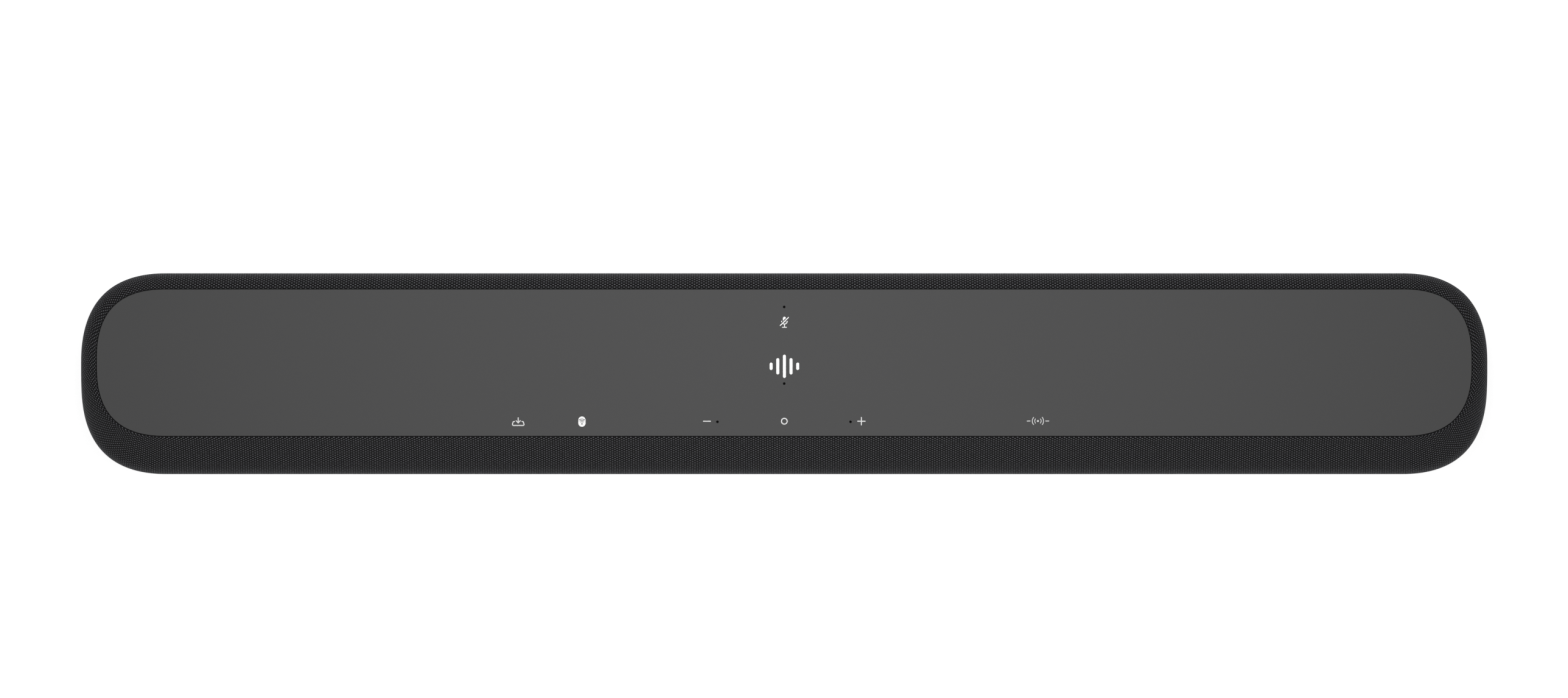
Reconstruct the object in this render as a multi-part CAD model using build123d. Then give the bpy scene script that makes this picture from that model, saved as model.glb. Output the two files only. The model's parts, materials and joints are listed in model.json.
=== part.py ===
"""A compact soundbar: a long, low bar wrapped in speaker cloth, with a flush touch panel on top.

Millimetres. +X runs along the bar, -Y is the front, +Z is up, and the origin is on the surface that
the feet stand on, under the middle of the bar. Every separate piece is written to parts/NODE.step.

Two woofers fire down through grilles in the base. Four small full-range drivers fire to the front
and to the two ends, behind the cloth. The middle of the bar holds the electronics and, at the
back, a recessed bay with the sockets.
"""

from build123d import *
from math import asin, cos, degrees, radians, sin, sqrt, tan
import os

# ---------------------------------------------------------------- driving dimensions

LENGTH = 700.0
DEPTH = 100.0
HEIGHT = 65.0

FOOT_HEIGHT = 4.0
CLOTH_BOTTOM = 4.5  # underside of the cloth where it turns under the bar
CLOTH = 1.0  # cloth thickness
GLUE_GAP = 0.1  # film between the cloth and the housing
WALL = 2.2  # moulded housing wall

BOTTOM_ROLL = 8.0  # radius of the turn under the bar
TOP_ROLL_WIDTH = 7.7  # plan width of the roll to the panel at the back and the ends
TOP_ROLL_DROP = 10.0  # height of that roll
SLOPE = 38.0  # the front facet's fall from horizontal, degrees
SHOULDER = 12.0  # radius between the front facet and the front face
SHOULDER_Z = 44.5  # height where the front face starts to turn

CORNER_X = 42.0  # length of the plan corner curve along X at the widest level
CORNER_Y = 44.0  # the same along Y
CORNER_X_SHRINK = 1.1  # how fast the corner shortens as the outline moves in
CORNER_Y_SHRINK = 1.34
CORNER_FULLNESS = 0.66  # handle length of the corner curve, as a share of its side

PANEL_THICK = 1.95
PANEL_TOP_Z = HEIGHT
PANEL_GROOVE = 0.35  # shadow gap between the panel and the cloth
PANEL_EDGE = 0.15  # chamfer round the panel's top
SPLIT_Z = CLOTH_BOTTOM + BOTTOM_ROLL  # the housing parts here, hidden by the cloth

COVER_THICK = 1.5
COVER_GAP = 0.3

HOUSING_OUT = CLOTH + GLUE_GAP  # depth of the housing's outer face under the cloth's face
HOUSING_IN = HOUSING_OUT + WALL
FLOOR_Z = CLOTH_BOTTOM + HOUSING_OUT  # underside of the housing's floor
FLOOR_TOP_Z = CLOTH_BOTTOM + HOUSING_IN
DECK_Z = HEIGHT - HOUSING_IN  # underside of the housing's deck
PANEL_SEAT_Z = PANEL_TOP_Z - PANEL_THICK - 0.05

GRILLE_R, GRILLE_THICK = 40.0, 0.8
GRILLE_HOLE_R, GRILLE_PITCH = 2.0, 6.0
WOOFER_X = 184.0
WOOFER_OPENING_R = 36.0
WOOFER_TRAVEL = 4.0  # furthest that a woofer's cone moves either way
WOOFER_SEAT_Z = FLOOR_Z + GRILLE_THICK + WOOFER_TRAVEL + 0.1
MID_X = 288.0  # the front drivers
MID_Z = 31.0
MID_SIDE_Y = 2.0  # the end drivers

os.makedirs("parts", exist_ok=True)
SIDES = {"left": -1, "right": 1}


def save(name, *shapes):
    """Writes one node from its separate solids."""
    solids = [solid for shape in shapes for solid in shape.solids()]
    export_step(solids[0] if len(solids) == 1 else Compound(children=solids), f"parts/{name}.step")


# ---------------------------------------------------------------- the bar's outer form

def front_inset(z, deep=0.0):
    """How far the front surface lies behind the widest outline at height z, at a depth under the face."""
    low_centre = CLOTH_BOTTOM + BOTTOM_ROLL
    if z < low_centre:
        return bottom_inset(z, deep)
    if z <= SHOULDER_Z:
        return deep
    radius = SHOULDER - deep
    turn = radians(90 - SLOPE)
    tangent_z = SHOULDER_Z + radius * sin(turn)
    if z <= tangent_z:
        return SHOULDER - sqrt(radius**2 - (z - SHOULDER_Z) ** 2)
    return SHOULDER - radius * cos(turn) + (z - tangent_z) / tan(radians(SLOPE))


def back_inset(z, deep=0.0):
    """The same for the back and the two ends."""
    if z < CLOTH_BOTTOM + BOTTOM_ROLL:
        return bottom_inset(z, deep)
    roll_z = HEIGHT - TOP_ROLL_DROP
    if z <= roll_z:
        return deep
    share = min(1.0, (z - roll_z) / (TOP_ROLL_DROP - deep))
    return TOP_ROLL_WIDTH - (TOP_ROLL_WIDTH - deep) * sqrt(1 - share**2)


def bottom_inset(z, deep):
    below = CLOTH_BOTTOM + BOTTOM_ROLL - z
    return BOTTOM_ROLL - sqrt(max(0.0, (BOTTOM_ROLL - deep) ** 2 - below**2))


def outline(z, front, side):
    """The bar's plan outline at height z, moved in by front along the front edge and by side elsewhere."""
    half_x = LENGTH / 2 - side
    y_front, y_back = -DEPTH / 2 + front, DEPTH / 2 - side
    corner_x = CORNER_X - CORNER_X_SHRINK * side
    corner_y = min(CORNER_Y - CORNER_Y_SHRINK * side, (y_back - y_front) / 2 - 0.5)

    def corner(x_sign, y_edge, y_sign):
        flat, end, side_x = x_sign * (half_x - corner_x), y_edge + y_sign * corner_y, x_sign * half_x
        handle_x = x_sign * (half_x - corner_x * (1 - CORNER_FULLNESS))
        handle_y = y_edge + y_sign * corner_y * (1 - CORNER_FULLNESS)
        return [(flat, y_edge, z), (handle_x, y_edge, z), (side_x, handle_y, z), (side_x, end, z)]

    front_right = corner(1, y_front, 1)
    back_right = corner(1, y_back, -1)[::-1]
    back_left = corner(-1, y_back, -1)
    front_left = corner(-1, y_front, 1)[::-1]
    edges = []
    ring = [front_right, back_right, back_left, front_left]
    for curve, following in zip(ring, ring[1:] + ring[:1]):
        edges += [Bezier(*curve), Line(curve[-1], following[0])]
    return Face(Wire(edges))


LEVELS = (0.0, 0.5, 2.0, 4.5, 8.0)  # heights above the underside, through the bottom roll
TOP_LEVELS = (8.5, 6.0, 3.4, 1.8, 0.8, 0.2, 0.0)  # heights below the top, through the top roll
SHOULDER_LEVELS = (0.0, 4.0, 7.0)  # heights above the start of the shoulder


def bar(deep=0.0, low=None, high=None):
    """The solid bar at a depth under the cloth's face, between two heights."""
    bottom, top = CLOTH_BOTTOM + deep, HEIGHT - deep
    shrink = (BOTTOM_ROLL - deep) / BOTTOM_ROLL
    top_shrink = (TOP_ROLL_DROP - deep) / TOP_ROLL_DROP
    heights = [bottom + step * shrink for step in LEVELS]
    heights += [SHOULDER_Z + step for step in SHOULDER_LEVELS]
    heights += [SHOULDER_Z + (SHOULDER - deep) * sin(radians(90 - SLOPE))]
    heights += [top - step * top_shrink for step in TOP_LEVELS]
    low, high = low or bottom, high or top
    heights = [low] + [z for z in sorted(heights) if low + 0.05 < z < high - 0.05] + [high]
    return loft([outline(z, front_inset(z, deep), back_inset(z, deep)) for z in heights], ruled=True)


def panel_prism(gap, low, high):
    """A straight block with the outline of the cloth's upper edge, moved in by the gap."""
    rim = outline(low, front_inset(HEIGHT) + gap, TOP_ROLL_WIDTH + gap)
    return extrude(rim, high - low, dir=(0, 0, 1))


def base_prism(gap, low, high):
    rim = outline(low, BOTTOM_ROLL + gap, BOTTOM_ROLL + gap)
    return extrude(rim, high - low, dir=(0, 0, 1))


def block(x, y, z):
    """A box from three (low, high) pairs."""
    size = [high - low for low, high in (x, y, z)]
    return Pos(x[0], y[0], z[0]) * Box(*size, align=(Align.MIN,) * 3)


def rod(x, y, low, high, radius):
    return Pos(x, y, low) * Cylinder(radius, high - low, align=(Align.CENTER, Align.CENTER, Align.MIN))


def turned(*parts):
    """A solid of revolution about Z. parts are edges, or (radius, z) points joined by straight lines."""
    edges, last, first = [], None, None
    for part in parts:
        if isinstance(part, tuple):
            if last is not None:
                edges.append(Line(last, part))
            first, last = first or part, part
        else:
            start, end = part.position_at(0), part.position_at(1)
            start, end = (start.X, start.Y), (end.X, end.Y)
            if last is not None and (Vector(*last) - Vector(*start)).length > 1e-6:
                edges.append(Line(last, start))
            edges.append(part)
            first, last = first or start, end
    if (Vector(*last) - Vector(*first)).length > 1e-6:
        edges.append(Line(last, first))
    return revolve(Plane.XZ * Face(Wire(edges)), Axis.Z)


def arc(centre, radius, start, end):
    """An arc in the (radius, z) plane between two angles in degrees."""
    def at(angle):
        return (centre[0] + radius * cos(radians(angle)), centre[1] + radius * sin(radians(angle)))

    return ThreePointArc(at(start), at((start + end) / 2), at(end))


# ---------------------------------------------------------------- where things stand

FOOT_PLACES = [(x, y) for x in (-300, 300) for y in (-30, 30)]
FOOT_LENGTH, FOOT_WIDTH = 44.0, 11.0
FOOT_POCKET = 0.8  # how far a foot sits into the base cover
SCREW_PLACES = [(x, y) for x in (-250, -80, 80, 250) for y in (-34, 34)]
SCREW_R, SCREW_HEAD_R, SCREW_LENGTH = 1.4, 2.9, 11.0
SCREW_BOSS_R, SCREW_BOSS_HEIGHT = SCREW_R + 2.0, 7.5
BRACKET_PLACES = [(x, y) for x in (-115, 115) for y in (-20, 20)]
INSERT_R, INSERT_BORE_R, INSERT_LENGTH = 3.0, 1.65, 8.0
INSERT_BOSS_R, INSERT_BOSS_HEIGHT = INSERT_R + 2.4, 6.2
BORE_GAP, PRESS_GAP = 0.15, 0.05  # radial clearance of a free hole and of a tight one
WOOFER_SEAT_R = 43.5

PARTITIONS = (-240.0, -130.0, 130.0, 240.0)
PARTITION_THICK = 2.0

BAY_X, BAY_LOW, BAY_HIGH = 61.0, 14.0, 36.0  # the socket bay's half length and its height range
BAY_BACK = 49.9  # where its mouth ends
BAY_WALL_Y = 24.0  # the front of the wall that holds the sockets
BAY_WALL, BAY_FLANGE, BAY_FLANGE_THICK = 2.0, 1.4, 1.5
BAY_CORNER_R = 4.0
BAY_GAP = 0.2  # round the bay in the housing's notch, which is open down to the lower housing
SOCKET_FACE_Y = BAY_WALL_Y + BAY_WALL
INLET_X, INLET_HALF, INLET_LOW, INLET_HIGH = 36.0, 11.0, 18.0, 32.0
INLET_PROUD, INLET_FRONT_Y, INLET_DEEP = 0.6, 10.0, 11.0
INLET_SLOT_LENGTH, INLET_SLOT_HEIGHT = 16.0, 9.2
PIN_SPACING, PIN_R, PIN_LENGTH = 8.6, 1.2, 9.5
HDMI_X, HDMI_HALF, HDMI_TALL, HDMI_DEEP = -8.0, 7.5, 5.5, 12.0
USB_X, USB_HALF, USB_TALL, USB_DEEP = -36.0, 6.55, 5.7, 14.0
SOCKET_SKIN, SOCKET_BACK = 0.4, 2.5

BOARD_LOW, BOARD_HIGH = 18.4, 20.0
BOARDS = {"main_board": (-62.0, 22.0, -40.0, 23.5), "amplifier_board": (-122.0, -66.0, -40.0, 42.0),
          "power_supply_board": (66.0, 122.0, -40.0, 42.0)}
STANDOFF_R, STANDOFF_IN = 2.6, 4.0
AMP_PLUG_X, AMP_PLUG_Y, AMP_PLUG_TOP = -87.0, 39.0, BOARD_HIGH + 8.0
SUPPLY_PLUG_X, SUPPLY_PLUG_Y = 68.4, -16.0
AMP_CHIP = (-94.0, -10.0)  # where the amplifier's chip and heatsink stand

TOUCH_X, TOUCH_Y = (-165.0, 165.0), (-29.0, 38.0)
TOUCH_LOW, TOUCH_HIGH = 61.6, 62.6
TOUCH_LEDGE, TOUCH_FRAME = 2.5, 3.0  # width of the ledge under the board's rim, and of the rib round it
RIBBON_X, RIBBON_HALF, RIBBON_THICK = 0.0, 10.0, 0.3
RIBBON_LOW, RIBBON_HIGH = (-32.0, BOARD_HIGH + 6.0), (11.0, TOUCH_LOW - 3.0)  # its ends, (y, z)
MIC_PLACES = [(0.0, 33.2), (0.0, -4.9), (-33.2, -23.9), (33.0, -23.9)]
MIC_HOLE_R = 0.65
MIC_SEAL_R, MIC_SEAL_BORE_R = 2.6, 0.8
ANTENNA_X, ANTENNA_Y = 205.0, (-14.0, -5.0)

HOUSING_FRONT_Y = -DEPTH / 2 + HOUSING_IN  # inner face of the housing's front wall
LED_HALF, LED_LOW, LED_HIGH = 32.0, 19.0, 22.2
LED_PITCH = 9

SLOT_WIDTH, SLOT_PITCH, SLOT_COUNT = 2.4, 4.6, 9
SLOT_LOW, FRONT_SLOT_HIGH, END_SLOT_HIGH = 15.0, 44.0, 50.0
WOOFER_EAR_R = 46.0  # radius of the woofer's four mounting screws
MID_EAR_R = 23.6
DRIVER_SCREW_R, DRIVER_SCREW_HEAD_R = 1.3, 2.5
DRIVER_HEAD_TALL, DRIVER_SHANK = 1.3, 5.4
CROSS_LENGTH, CROSS_WIDTH = 3.2, 0.6  # the cross recess in every screw's head
ENCLOSURE_X, ENCLOSURE_Y, ENCLOSURE_Z = (262.0, 324.0), (-35.0, 34.0), (FLOOR_TOP_Z, 52.0)
ENCLOSURE_WALL, ENCLOSURE_CORNER_R = 2.0, 5.0
MID_HOLE_R, MID_BOSS_R, MID_BOSS_LENGTH = 19.1, 2.6, 5.5
MID_FLANGE, WOOFER_FLANGE = 1.5, 2.0

LEAD_R, LEAD_BEND, LEAD_Y = 1.3, 6.0, 43.2
LEAD_Z = {"left": 34.0, "right": 50.0}  # height of the leads to each end's woofer
SMALL_LEAD_RISE = {"left": 5.0, "right": 4.0}  # how much higher the leads to the small drivers run
SMALL_LEAD_X, SMALL_LEAD_ENTRY_Z = 285.0, 38.0
INLET_LEAD_Z = 25.0


def standoff_places(board):
    x0, x1, y0, y1 = BOARDS[board]
    across, along = (x0 + STANDOFF_IN, x1 - STANDOFF_IN), (y0 + STANDOFF_IN, y1 - STANDOFF_IN)
    return [(x, y) for x in across for y in along]


# ---------------------------------------------------------------- cloth, panel and housing

def fabric_wrap():
    skin = bar() - bar(CLOTH)
    skin -= panel_prism(0.0, HEIGHT - 4, HEIGHT + 1)
    skin -= base_prism(0.0, CLOTH_BOTTOM - 1, CLOTH_BOTTOM + 2)
    return skin - bay_opening(0.0)


def bay_opening(gap):
    hole = RectangleRounded(2 * (BAY_X + gap), BAY_HIGH - BAY_LOW + 2 * gap, BAY_CORNER_R)
    middle = (BAY_LOW + BAY_HIGH) / 2
    return extrude(Plane((0, DEPTH / 2 + 1, middle), x_dir=(1, 0, 0), z_dir=(0, -1, 0)) * hole, 8.0)


def top_panel():
    plate = panel_prism(PANEL_GROOVE, PANEL_TOP_Z - PANEL_THICK, PANEL_TOP_Z)
    rim = plate.faces().sort_by(Axis.Z)[-1].edges()
    plate = chamfer(rim, PANEL_EDGE)
    for x, y in MIC_PLACES:
        plate -= rod(x, y, HEIGHT - 5, HEIGHT + 1, MIC_HOLE_R)
    return plate


def touch_frame(margin, low, high):
    """A block round the touch board, wider than it by the margin."""
    x, y = [(near - margin, far + margin) for near, far in (TOUCH_X, TOUCH_Y)]
    return block(x, y, (low, high))


def partitions(low, high, deep):
    room = bar(deep, low, high)
    walls = []
    for x in PARTITIONS:
        sheet = block((x - PARTITION_THICK / 2, x + PARTITION_THICK / 2), (-60, 60), (low - 1, high + 1))
        walls.append(room & sheet)
    return walls


def speaker_slots():
    """The slots in the housing in front of the four small drivers."""
    cuts = []
    half = SLOT_WIDTH / 2
    front = (-DEPTH / 2, -DEPTH / 2 + 10)
    for step in range(SLOT_COUNT):
        across = (step - (SLOT_COUNT - 1) / 2) * SLOT_PITCH
        for sign in SIDES.values():
            x = sign * MID_X + across
            y = MID_SIDE_Y + across
            cuts.append(block((x - half, x + half), front, (SLOT_LOW, FRONT_SLOT_HIGH)))
            end = sorted((sign * (LENGTH / 2 - 12), sign * LENGTH / 2))
            cuts.append(block(end, (y - half, y + half), (SLOT_LOW, END_SLOT_HIGH)))
    return cuts


def upper_housing():
    shell = bar(HOUSING_OUT, low=SPLIT_Z) - bar(HOUSING_IN, low=SPLIT_Z - 1)
    for wall in partitions(SPLIT_Z, DECK_Z, HOUSING_IN):
        shell += wall
    shell += touch_frame(TOUCH_FRAME, TOUCH_LOW - 1.6, DECK_Z + 0.1)
    shell -= touch_frame(-TOUCH_LEDGE, TOUCH_LOW - 2, HEIGHT)
    shell -= touch_frame(2 * BORE_GAP, TOUCH_LOW, HEIGHT)
    shell -= panel_prism(-PRESS_GAP, PANEL_SEAT_Z, HEIGHT + 1)
    shell -= bay_opening(BAY_GAP)
    notch_x = BAY_X + BAY_GAP
    shell -= block((-notch_x, notch_x), (BAY_WALL_Y, DEPTH / 2), (SPLIT_Z - 1, BAY_LOW + BAY_CORNER_R))
    through = [points for points in wire_routes() if abs(points[-1][0]) > PARTITIONS[-2]]
    shell -= [lead(points, LEAD_R + BORE_GAP) for points in through]
    shell -= speaker_slots()
    return shell - block((-LED_HALF, LED_HALF), (-DEPTH / 2, HOUSING_FRONT_Y + 1), (LED_LOW, LED_HIGH))


def lower_housing():
    split = SPLIT_Z - PRESS_GAP
    root = FLOOR_TOP_Z - 0.5  # bosses start inside the floor
    tray = bar(HOUSING_OUT, high=split) - bar(HOUSING_IN, high=SPLIT_Z + 1)
    for wall in partitions(FLOOR_TOP_Z, split, HOUSING_IN):
        tray += wall
    for sign in SIDES.values():
        x = sign * WOOFER_X
        tray += rod(x, 0, root, WOOFER_SEAT_Z, WOOFER_SEAT_R)
        for ear in ear_places(WOOFER_EAR_R):
            spot = (Pos(x, 0, 0) * ear).position
            tray += rod(spot.X, spot.Y, root, WOOFER_SEAT_Z, 4.0)
            tray -= rod(spot.X, spot.Y, FLOOR_Z + 1.2, WOOFER_SEAT_Z + 1, DRIVER_SCREW_R + PRESS_GAP)
        tray -= rod(x, 0, FLOOR_Z - 1, WOOFER_SEAT_Z + 1, WOOFER_OPENING_R)
        tray -= rod(x, 0, FLOOR_Z - 1, FLOOR_Z + GRILLE_THICK + 0.1, GRILLE_R + 2 * BORE_GAP)
    for x, y in BRACKET_PLACES:
        tray += rod(x, y, root, FLOOR_TOP_Z + INSERT_BOSS_HEIGHT, INSERT_BOSS_R)
        tray -= rod(x, y, FLOOR_Z - 1, FOOT_HEIGHT + INSERT_LENGTH + 0.2, INSERT_R + PRESS_GAP)
    for x, y in SCREW_PLACES:
        tray += rod(x, y, root, FLOOR_TOP_Z + SCREW_BOSS_HEIGHT, SCREW_BOSS_R)
        tray -= rod(x, y, FLOOR_Z - 1, FOOT_HEIGHT + SCREW_LENGTH + 0.3, SCREW_R + PRESS_GAP)
    for board in BOARDS:
        for x, y in standoff_places(board):
            tray += rod(x, y, root, BOARD_LOW, STANDOFF_R)
    return tray


def base_cover():
    low, high = FOOT_HEIGHT, FOOT_HEIGHT + COVER_THICK
    plate = base_prism(COVER_GAP, low, high)
    plate = chamfer(plate.faces().sort_by(Axis.Z)[0].edges(), 0.3)
    for sign in SIDES.values():
        plate -= rod(sign * WOOFER_X, 0, low - 1, high + 1, WOOFER_OPENING_R)
    for x, y in BRACKET_PLACES:
        plate -= rod(x, y, low - 1, high + 1, INSERT_R + BORE_GAP)
    for x, y in SCREW_PLACES:
        plate -= rod(x, y, low - 1, high + 1, SCREW_R + BORE_GAP)
        plate -= rod(x, y, low - 1, low + 1.0, SCREW_HEAD_R + BORE_GAP)
    for x, y in FOOT_PLACES:
        pocket = SlotOverall(FOOT_LENGTH + 0.2, FOOT_WIDTH + 0.2)
        plate -= Pos(x, y, low - 1) * extrude(pocket, FOOT_POCKET + 1)
    return plate


def rubber_feet():
    feet = []
    for x, y in FOOT_PLACES:
        pad = extrude(SlotOverall(FOOT_LENGTH, FOOT_WIDTH), FOOT_HEIGHT + FOOT_POCKET)
        pad = chamfer(pad.faces().sort_by(Axis.Z)[0].edges(), 0.6)
        feet.append(Pos(x, y, 0) * pad)
    return feet


def base_screws():
    screws = []
    for x, y in SCREW_PLACES:
        head = rod(x, y, FOOT_HEIGHT + 0.1, FOOT_HEIGHT + 0.95, SCREW_HEAD_R)
        shank = rod(x, y, FOOT_HEIGHT + 0.9, FOOT_HEIGHT + SCREW_LENGTH, SCREW_R)
        arms = ((CROSS_LENGTH / 2, CROSS_WIDTH / 2), (CROSS_WIDTH / 2, CROSS_LENGTH / 2))
        recess = [block((x - a, x + a), (y - b, y + b), (FOOT_HEIGHT, FOOT_HEIGHT + 0.6)) for a, b in arms]
        screws.append((head + shank) - recess)
    return screws


def wall_mount_inserts():
    low, high = FOOT_HEIGHT, FOOT_HEIGHT + INSERT_LENGTH
    return [rod(x, y, low, high, INSERT_R) - rod(x, y, low - 1, high + 1, INSERT_BORE_R)
            for x, y in BRACKET_PLACES]


def woofer_grilles():
    """Perforated steel discs, with round holes in rings of six times the ring's number."""
    rings = int((WOOFER_OPENING_R - GRILLE_HOLE_R) / GRILLE_PITCH)
    holes = [(0.0, 0.0)]
    for ring in range(1, rings + 1):
        for step in range(6 * ring):
            angle = radians(60.0 * step / ring)
            holes.append((ring * GRILLE_PITCH * cos(angle), ring * GRILLE_PITCH * sin(angle)))
    disc = Circle(GRILLE_R) - [Pos(x, y) * Circle(GRILLE_HOLE_R) for x, y in holes]
    plate = extrude(disc, GRILLE_THICK)
    return [Pos(sign * WOOFER_X, 0, FLOOR_Z) * plate for sign in SIDES.values()]


# ---------------------------------------------------------------- controls, lights and microphones

def touch_board():
    board = touch_frame(0.0, TOUCH_LOW, TOUCH_HIGH)
    for x, y in MIC_PLACES:
        board -= rod(x, y, TOUCH_LOW - 1, TOUCH_HIGH + 1, MIC_HOLE_R)
    connector = block((-12, 12), (8, 14), (TOUCH_LOW - 3, TOUCH_LOW))
    return [board, connector]


def microphones():
    return [block((x - 2, x + 2), (y - 1.5, y + 1.5), (TOUCH_LOW - 1.1, TOUCH_LOW)) for x, y in MIC_PLACES]


def mic_seals():
    low, high = TOUCH_HIGH, PANEL_TOP_Z - PANEL_THICK
    return [rod(x, y, low, high, MIC_SEAL_R) - rod(x, y, low - 1, high + 1, MIC_SEAL_BORE_R)
            for x, y in MIC_PLACES]


def led_light_guide():
    """A diffusing bar in the housing's window, with a flange behind the wall."""
    gap = 0.2
    half, low, high = LED_HALF - gap, LED_LOW + gap, LED_HIGH - gap
    window = block((-half, half), (-DEPTH / 2 + HOUSING_OUT, HOUSING_FRONT_Y + gap), (low, high))
    flange = block((-half - 4, half + 4), (HOUSING_FRONT_Y + 0.1, HOUSING_FRONT_Y + 1.4), (low - 2, high + 2))
    return window + flange


def led_board():
    y = HOUSING_FRONT_Y + 2.4
    reach = 3 * LED_PITCH
    board = block((-reach - 10, reach + 10), (y, y + 1.2), (LED_LOW - 5, LED_HIGH + 5))
    lamps = [block((x - 1.4, x + 1.4), (y - 0.9, y), (LED_LOW + 0.2, LED_HIGH - 0.2))
             for x in range(-reach, reach + 1, LED_PITCH)]
    return [board] + lamps


# ---------------------------------------------------------------- sockets and boards

def connector_bay():
    """A recessed tray that opens to the back, with a window in its inner wall for each socket."""
    middle, tall, deep = (BAY_LOW + BAY_HIGH) / 2, BAY_HIGH - BAY_LOW, BAY_BACK - BAY_WALL_Y
    facing = Plane((0, BAY_WALL_Y, middle), x_dir=(1, 0, 0), z_dir=(0, -1, 0))
    block_face = RectangleRounded(2 * (BAY_X - BORE_GAP), tall - 2 * BORE_GAP, BAY_CORNER_R - 0.2)
    outer = extrude(facing * block_face, -deep)
    mouth = RectangleRounded(2 * (BAY_X - BAY_WALL), tall - 2 * BAY_WALL, BAY_CORNER_R - 1.5)
    inner = Pos(0, BAY_WALL, 0) * extrude(facing * mouth, -deep)
    behind_wall = Plane((0, DEPTH / 2 - HOUSING_IN - 0.1, middle), x_dir=(1, 0, 0), z_dir=(0, -1, 0))
    flange = RectangleRounded(2 * (BAY_X + BAY_FLANGE), tall + 2 * BAY_FLANGE, BAY_CORNER_R + 1.0)
    tray = outer + extrude(behind_wall * flange, BAY_FLANGE_THICK) - inner
    windows = ((INLET_X, INLET_LOW, INLET_HIGH, INLET_HALF),
               (HDMI_X, BOARD_HIGH, BOARD_HIGH + HDMI_TALL, HDMI_HALF),
               (USB_X, BOARD_HIGH, BOARD_HIGH + USB_TALL, USB_HALF))
    gap, through = 0.1, (BAY_WALL_Y - 1, SOCKET_FACE_Y + 1)
    for x, low, high, half in windows:
        tray -= block((x - half - gap, x + half + gap), through, (low - gap, high + gap))
    return tray


def power_inlet():
    """A two-pin mains inlet: a block with a slot-shaped mouth and two round pins in it."""
    middle, back = (INLET_LOW + INLET_HIGH) / 2, SOCKET_FACE_Y + INLET_PROUD
    face = Plane((INLET_X, back, middle), x_dir=(-1, 0, 0), z_dir=(0, 1, 0))
    body = block((INLET_X - INLET_HALF, INLET_X + INLET_HALF), (INLET_FRONT_Y, back), (INLET_LOW, INLET_HIGH))
    body -= extrude(face * SlotOverall(INLET_SLOT_LENGTH, INLET_SLOT_HEIGHT), -INLET_DEEP)
    pin = Cylinder(PIN_R, PIN_LENGTH, align=(Align.CENTER, Align.CENTER, Align.MIN))
    return [body] + [face * Pos(side * PIN_SPACING / 2, 0, -INLET_DEEP) * pin for side in (-1, 1)]


def shell_socket(x, half, tall, deep, tongue_low, tongue_high):
    """A thin metal receptacle that opens to the back, and its insulating tongue."""
    low, front, skin = BOARD_HIGH, SOCKET_FACE_Y - deep, SOCKET_SKIN
    outer = block((x - half, x + half), (front, SOCKET_FACE_Y), (low, low + tall))
    hollow_x, hollow_z = (x - half + skin, x + half - skin), (low + skin, low + tall - skin)
    hollow = block(hollow_x, (front + SOCKET_BACK, SOCKET_FACE_Y + 1), hollow_z)
    tongue_x = (x - half + 4 * skin, x + half - 4 * skin)
    tongue_y = (front + SOCKET_BACK, SOCKET_FACE_Y - 2 * skin)
    return [outer - hollow, block(tongue_x, tongue_y, (low + tongue_low, low + tongue_high))]


def hdmi_socket():
    return shell_socket(HDMI_X, HDMI_HALF, HDMI_TALL, HDMI_DEEP, 2.3, 3.5)


def usb_socket():
    return shell_socket(USB_X, USB_HALF, USB_TALL, USB_DEEP, 3.3, 4.9)


def board(name):
    x0, x1, y0, y1 = BOARDS[name]
    return block((x0, x1), (y0, y1), (BOARD_LOW + 0.02, BOARD_HIGH - 0.02))


def chip(x, y, half_x, half_y, tall):
    return block((x - half_x, x + half_x), (y - half_y, y + half_y), (BOARD_HIGH, BOARD_HIGH + tall))


def main_board():
    chips = [chip(-20, -12, 11, 11, 2.2), chip(6, -14, 7, 5, 1.4), chip(-46, -12, 8, 8, 1.6)]
    ribbon_socket = chip(0, -32, 14, 3, 6)
    return [board("main_board"), ribbon_socket] + chips


def amplifier_board():
    coils = [rod(-116 + 11 * step, 25, BOARD_HIGH, BOARD_HIGH + 9, 4.4) for step in range(5)]
    plugs = chip(AMP_PLUG_X, AMP_PLUG_Y, 12, 2.5, AMP_PLUG_TOP - BOARD_HIGH)
    return [board("amplifier_board"), chip(*AMP_CHIP, 14, 12, 1.8), plugs] + coils


def amplifier_heatsink():
    (x, y), half_x, half_y, fins, fin_half = AMP_CHIP, 22.0, 20.0, 8, 0.9
    low = BOARD_HIGH + 1.9
    sink = block((x - half_x, x + half_x), (y - half_y, y + half_y), (low, low + 3))
    for step in range(fins):
        fin_x = x + (half_x - 1) * (2 * step / (fins - 1) - 1)
        sink += block((fin_x - fin_half, fin_x + fin_half), (y - half_y, y + half_y), (low + 2.5, low + 17))
    return sink


def power_supply_board():
    tall_caps = [rod(76 + 14 * step, -30, BOARD_HIGH, BOARD_HIGH + 26, 6.2) for step in range(3)]
    small_caps = [rod(x, 34, BOARD_HIGH, BOARD_HIGH + 14, 4.0) for x in (84, 96, 108)]
    plug = chip(SUPPLY_PLUG_X + 2.3, SUPPLY_PLUG_Y, 2.3, 4.5, 9)
    return [board("power_supply_board"), plug] + tall_caps + small_caps


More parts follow.
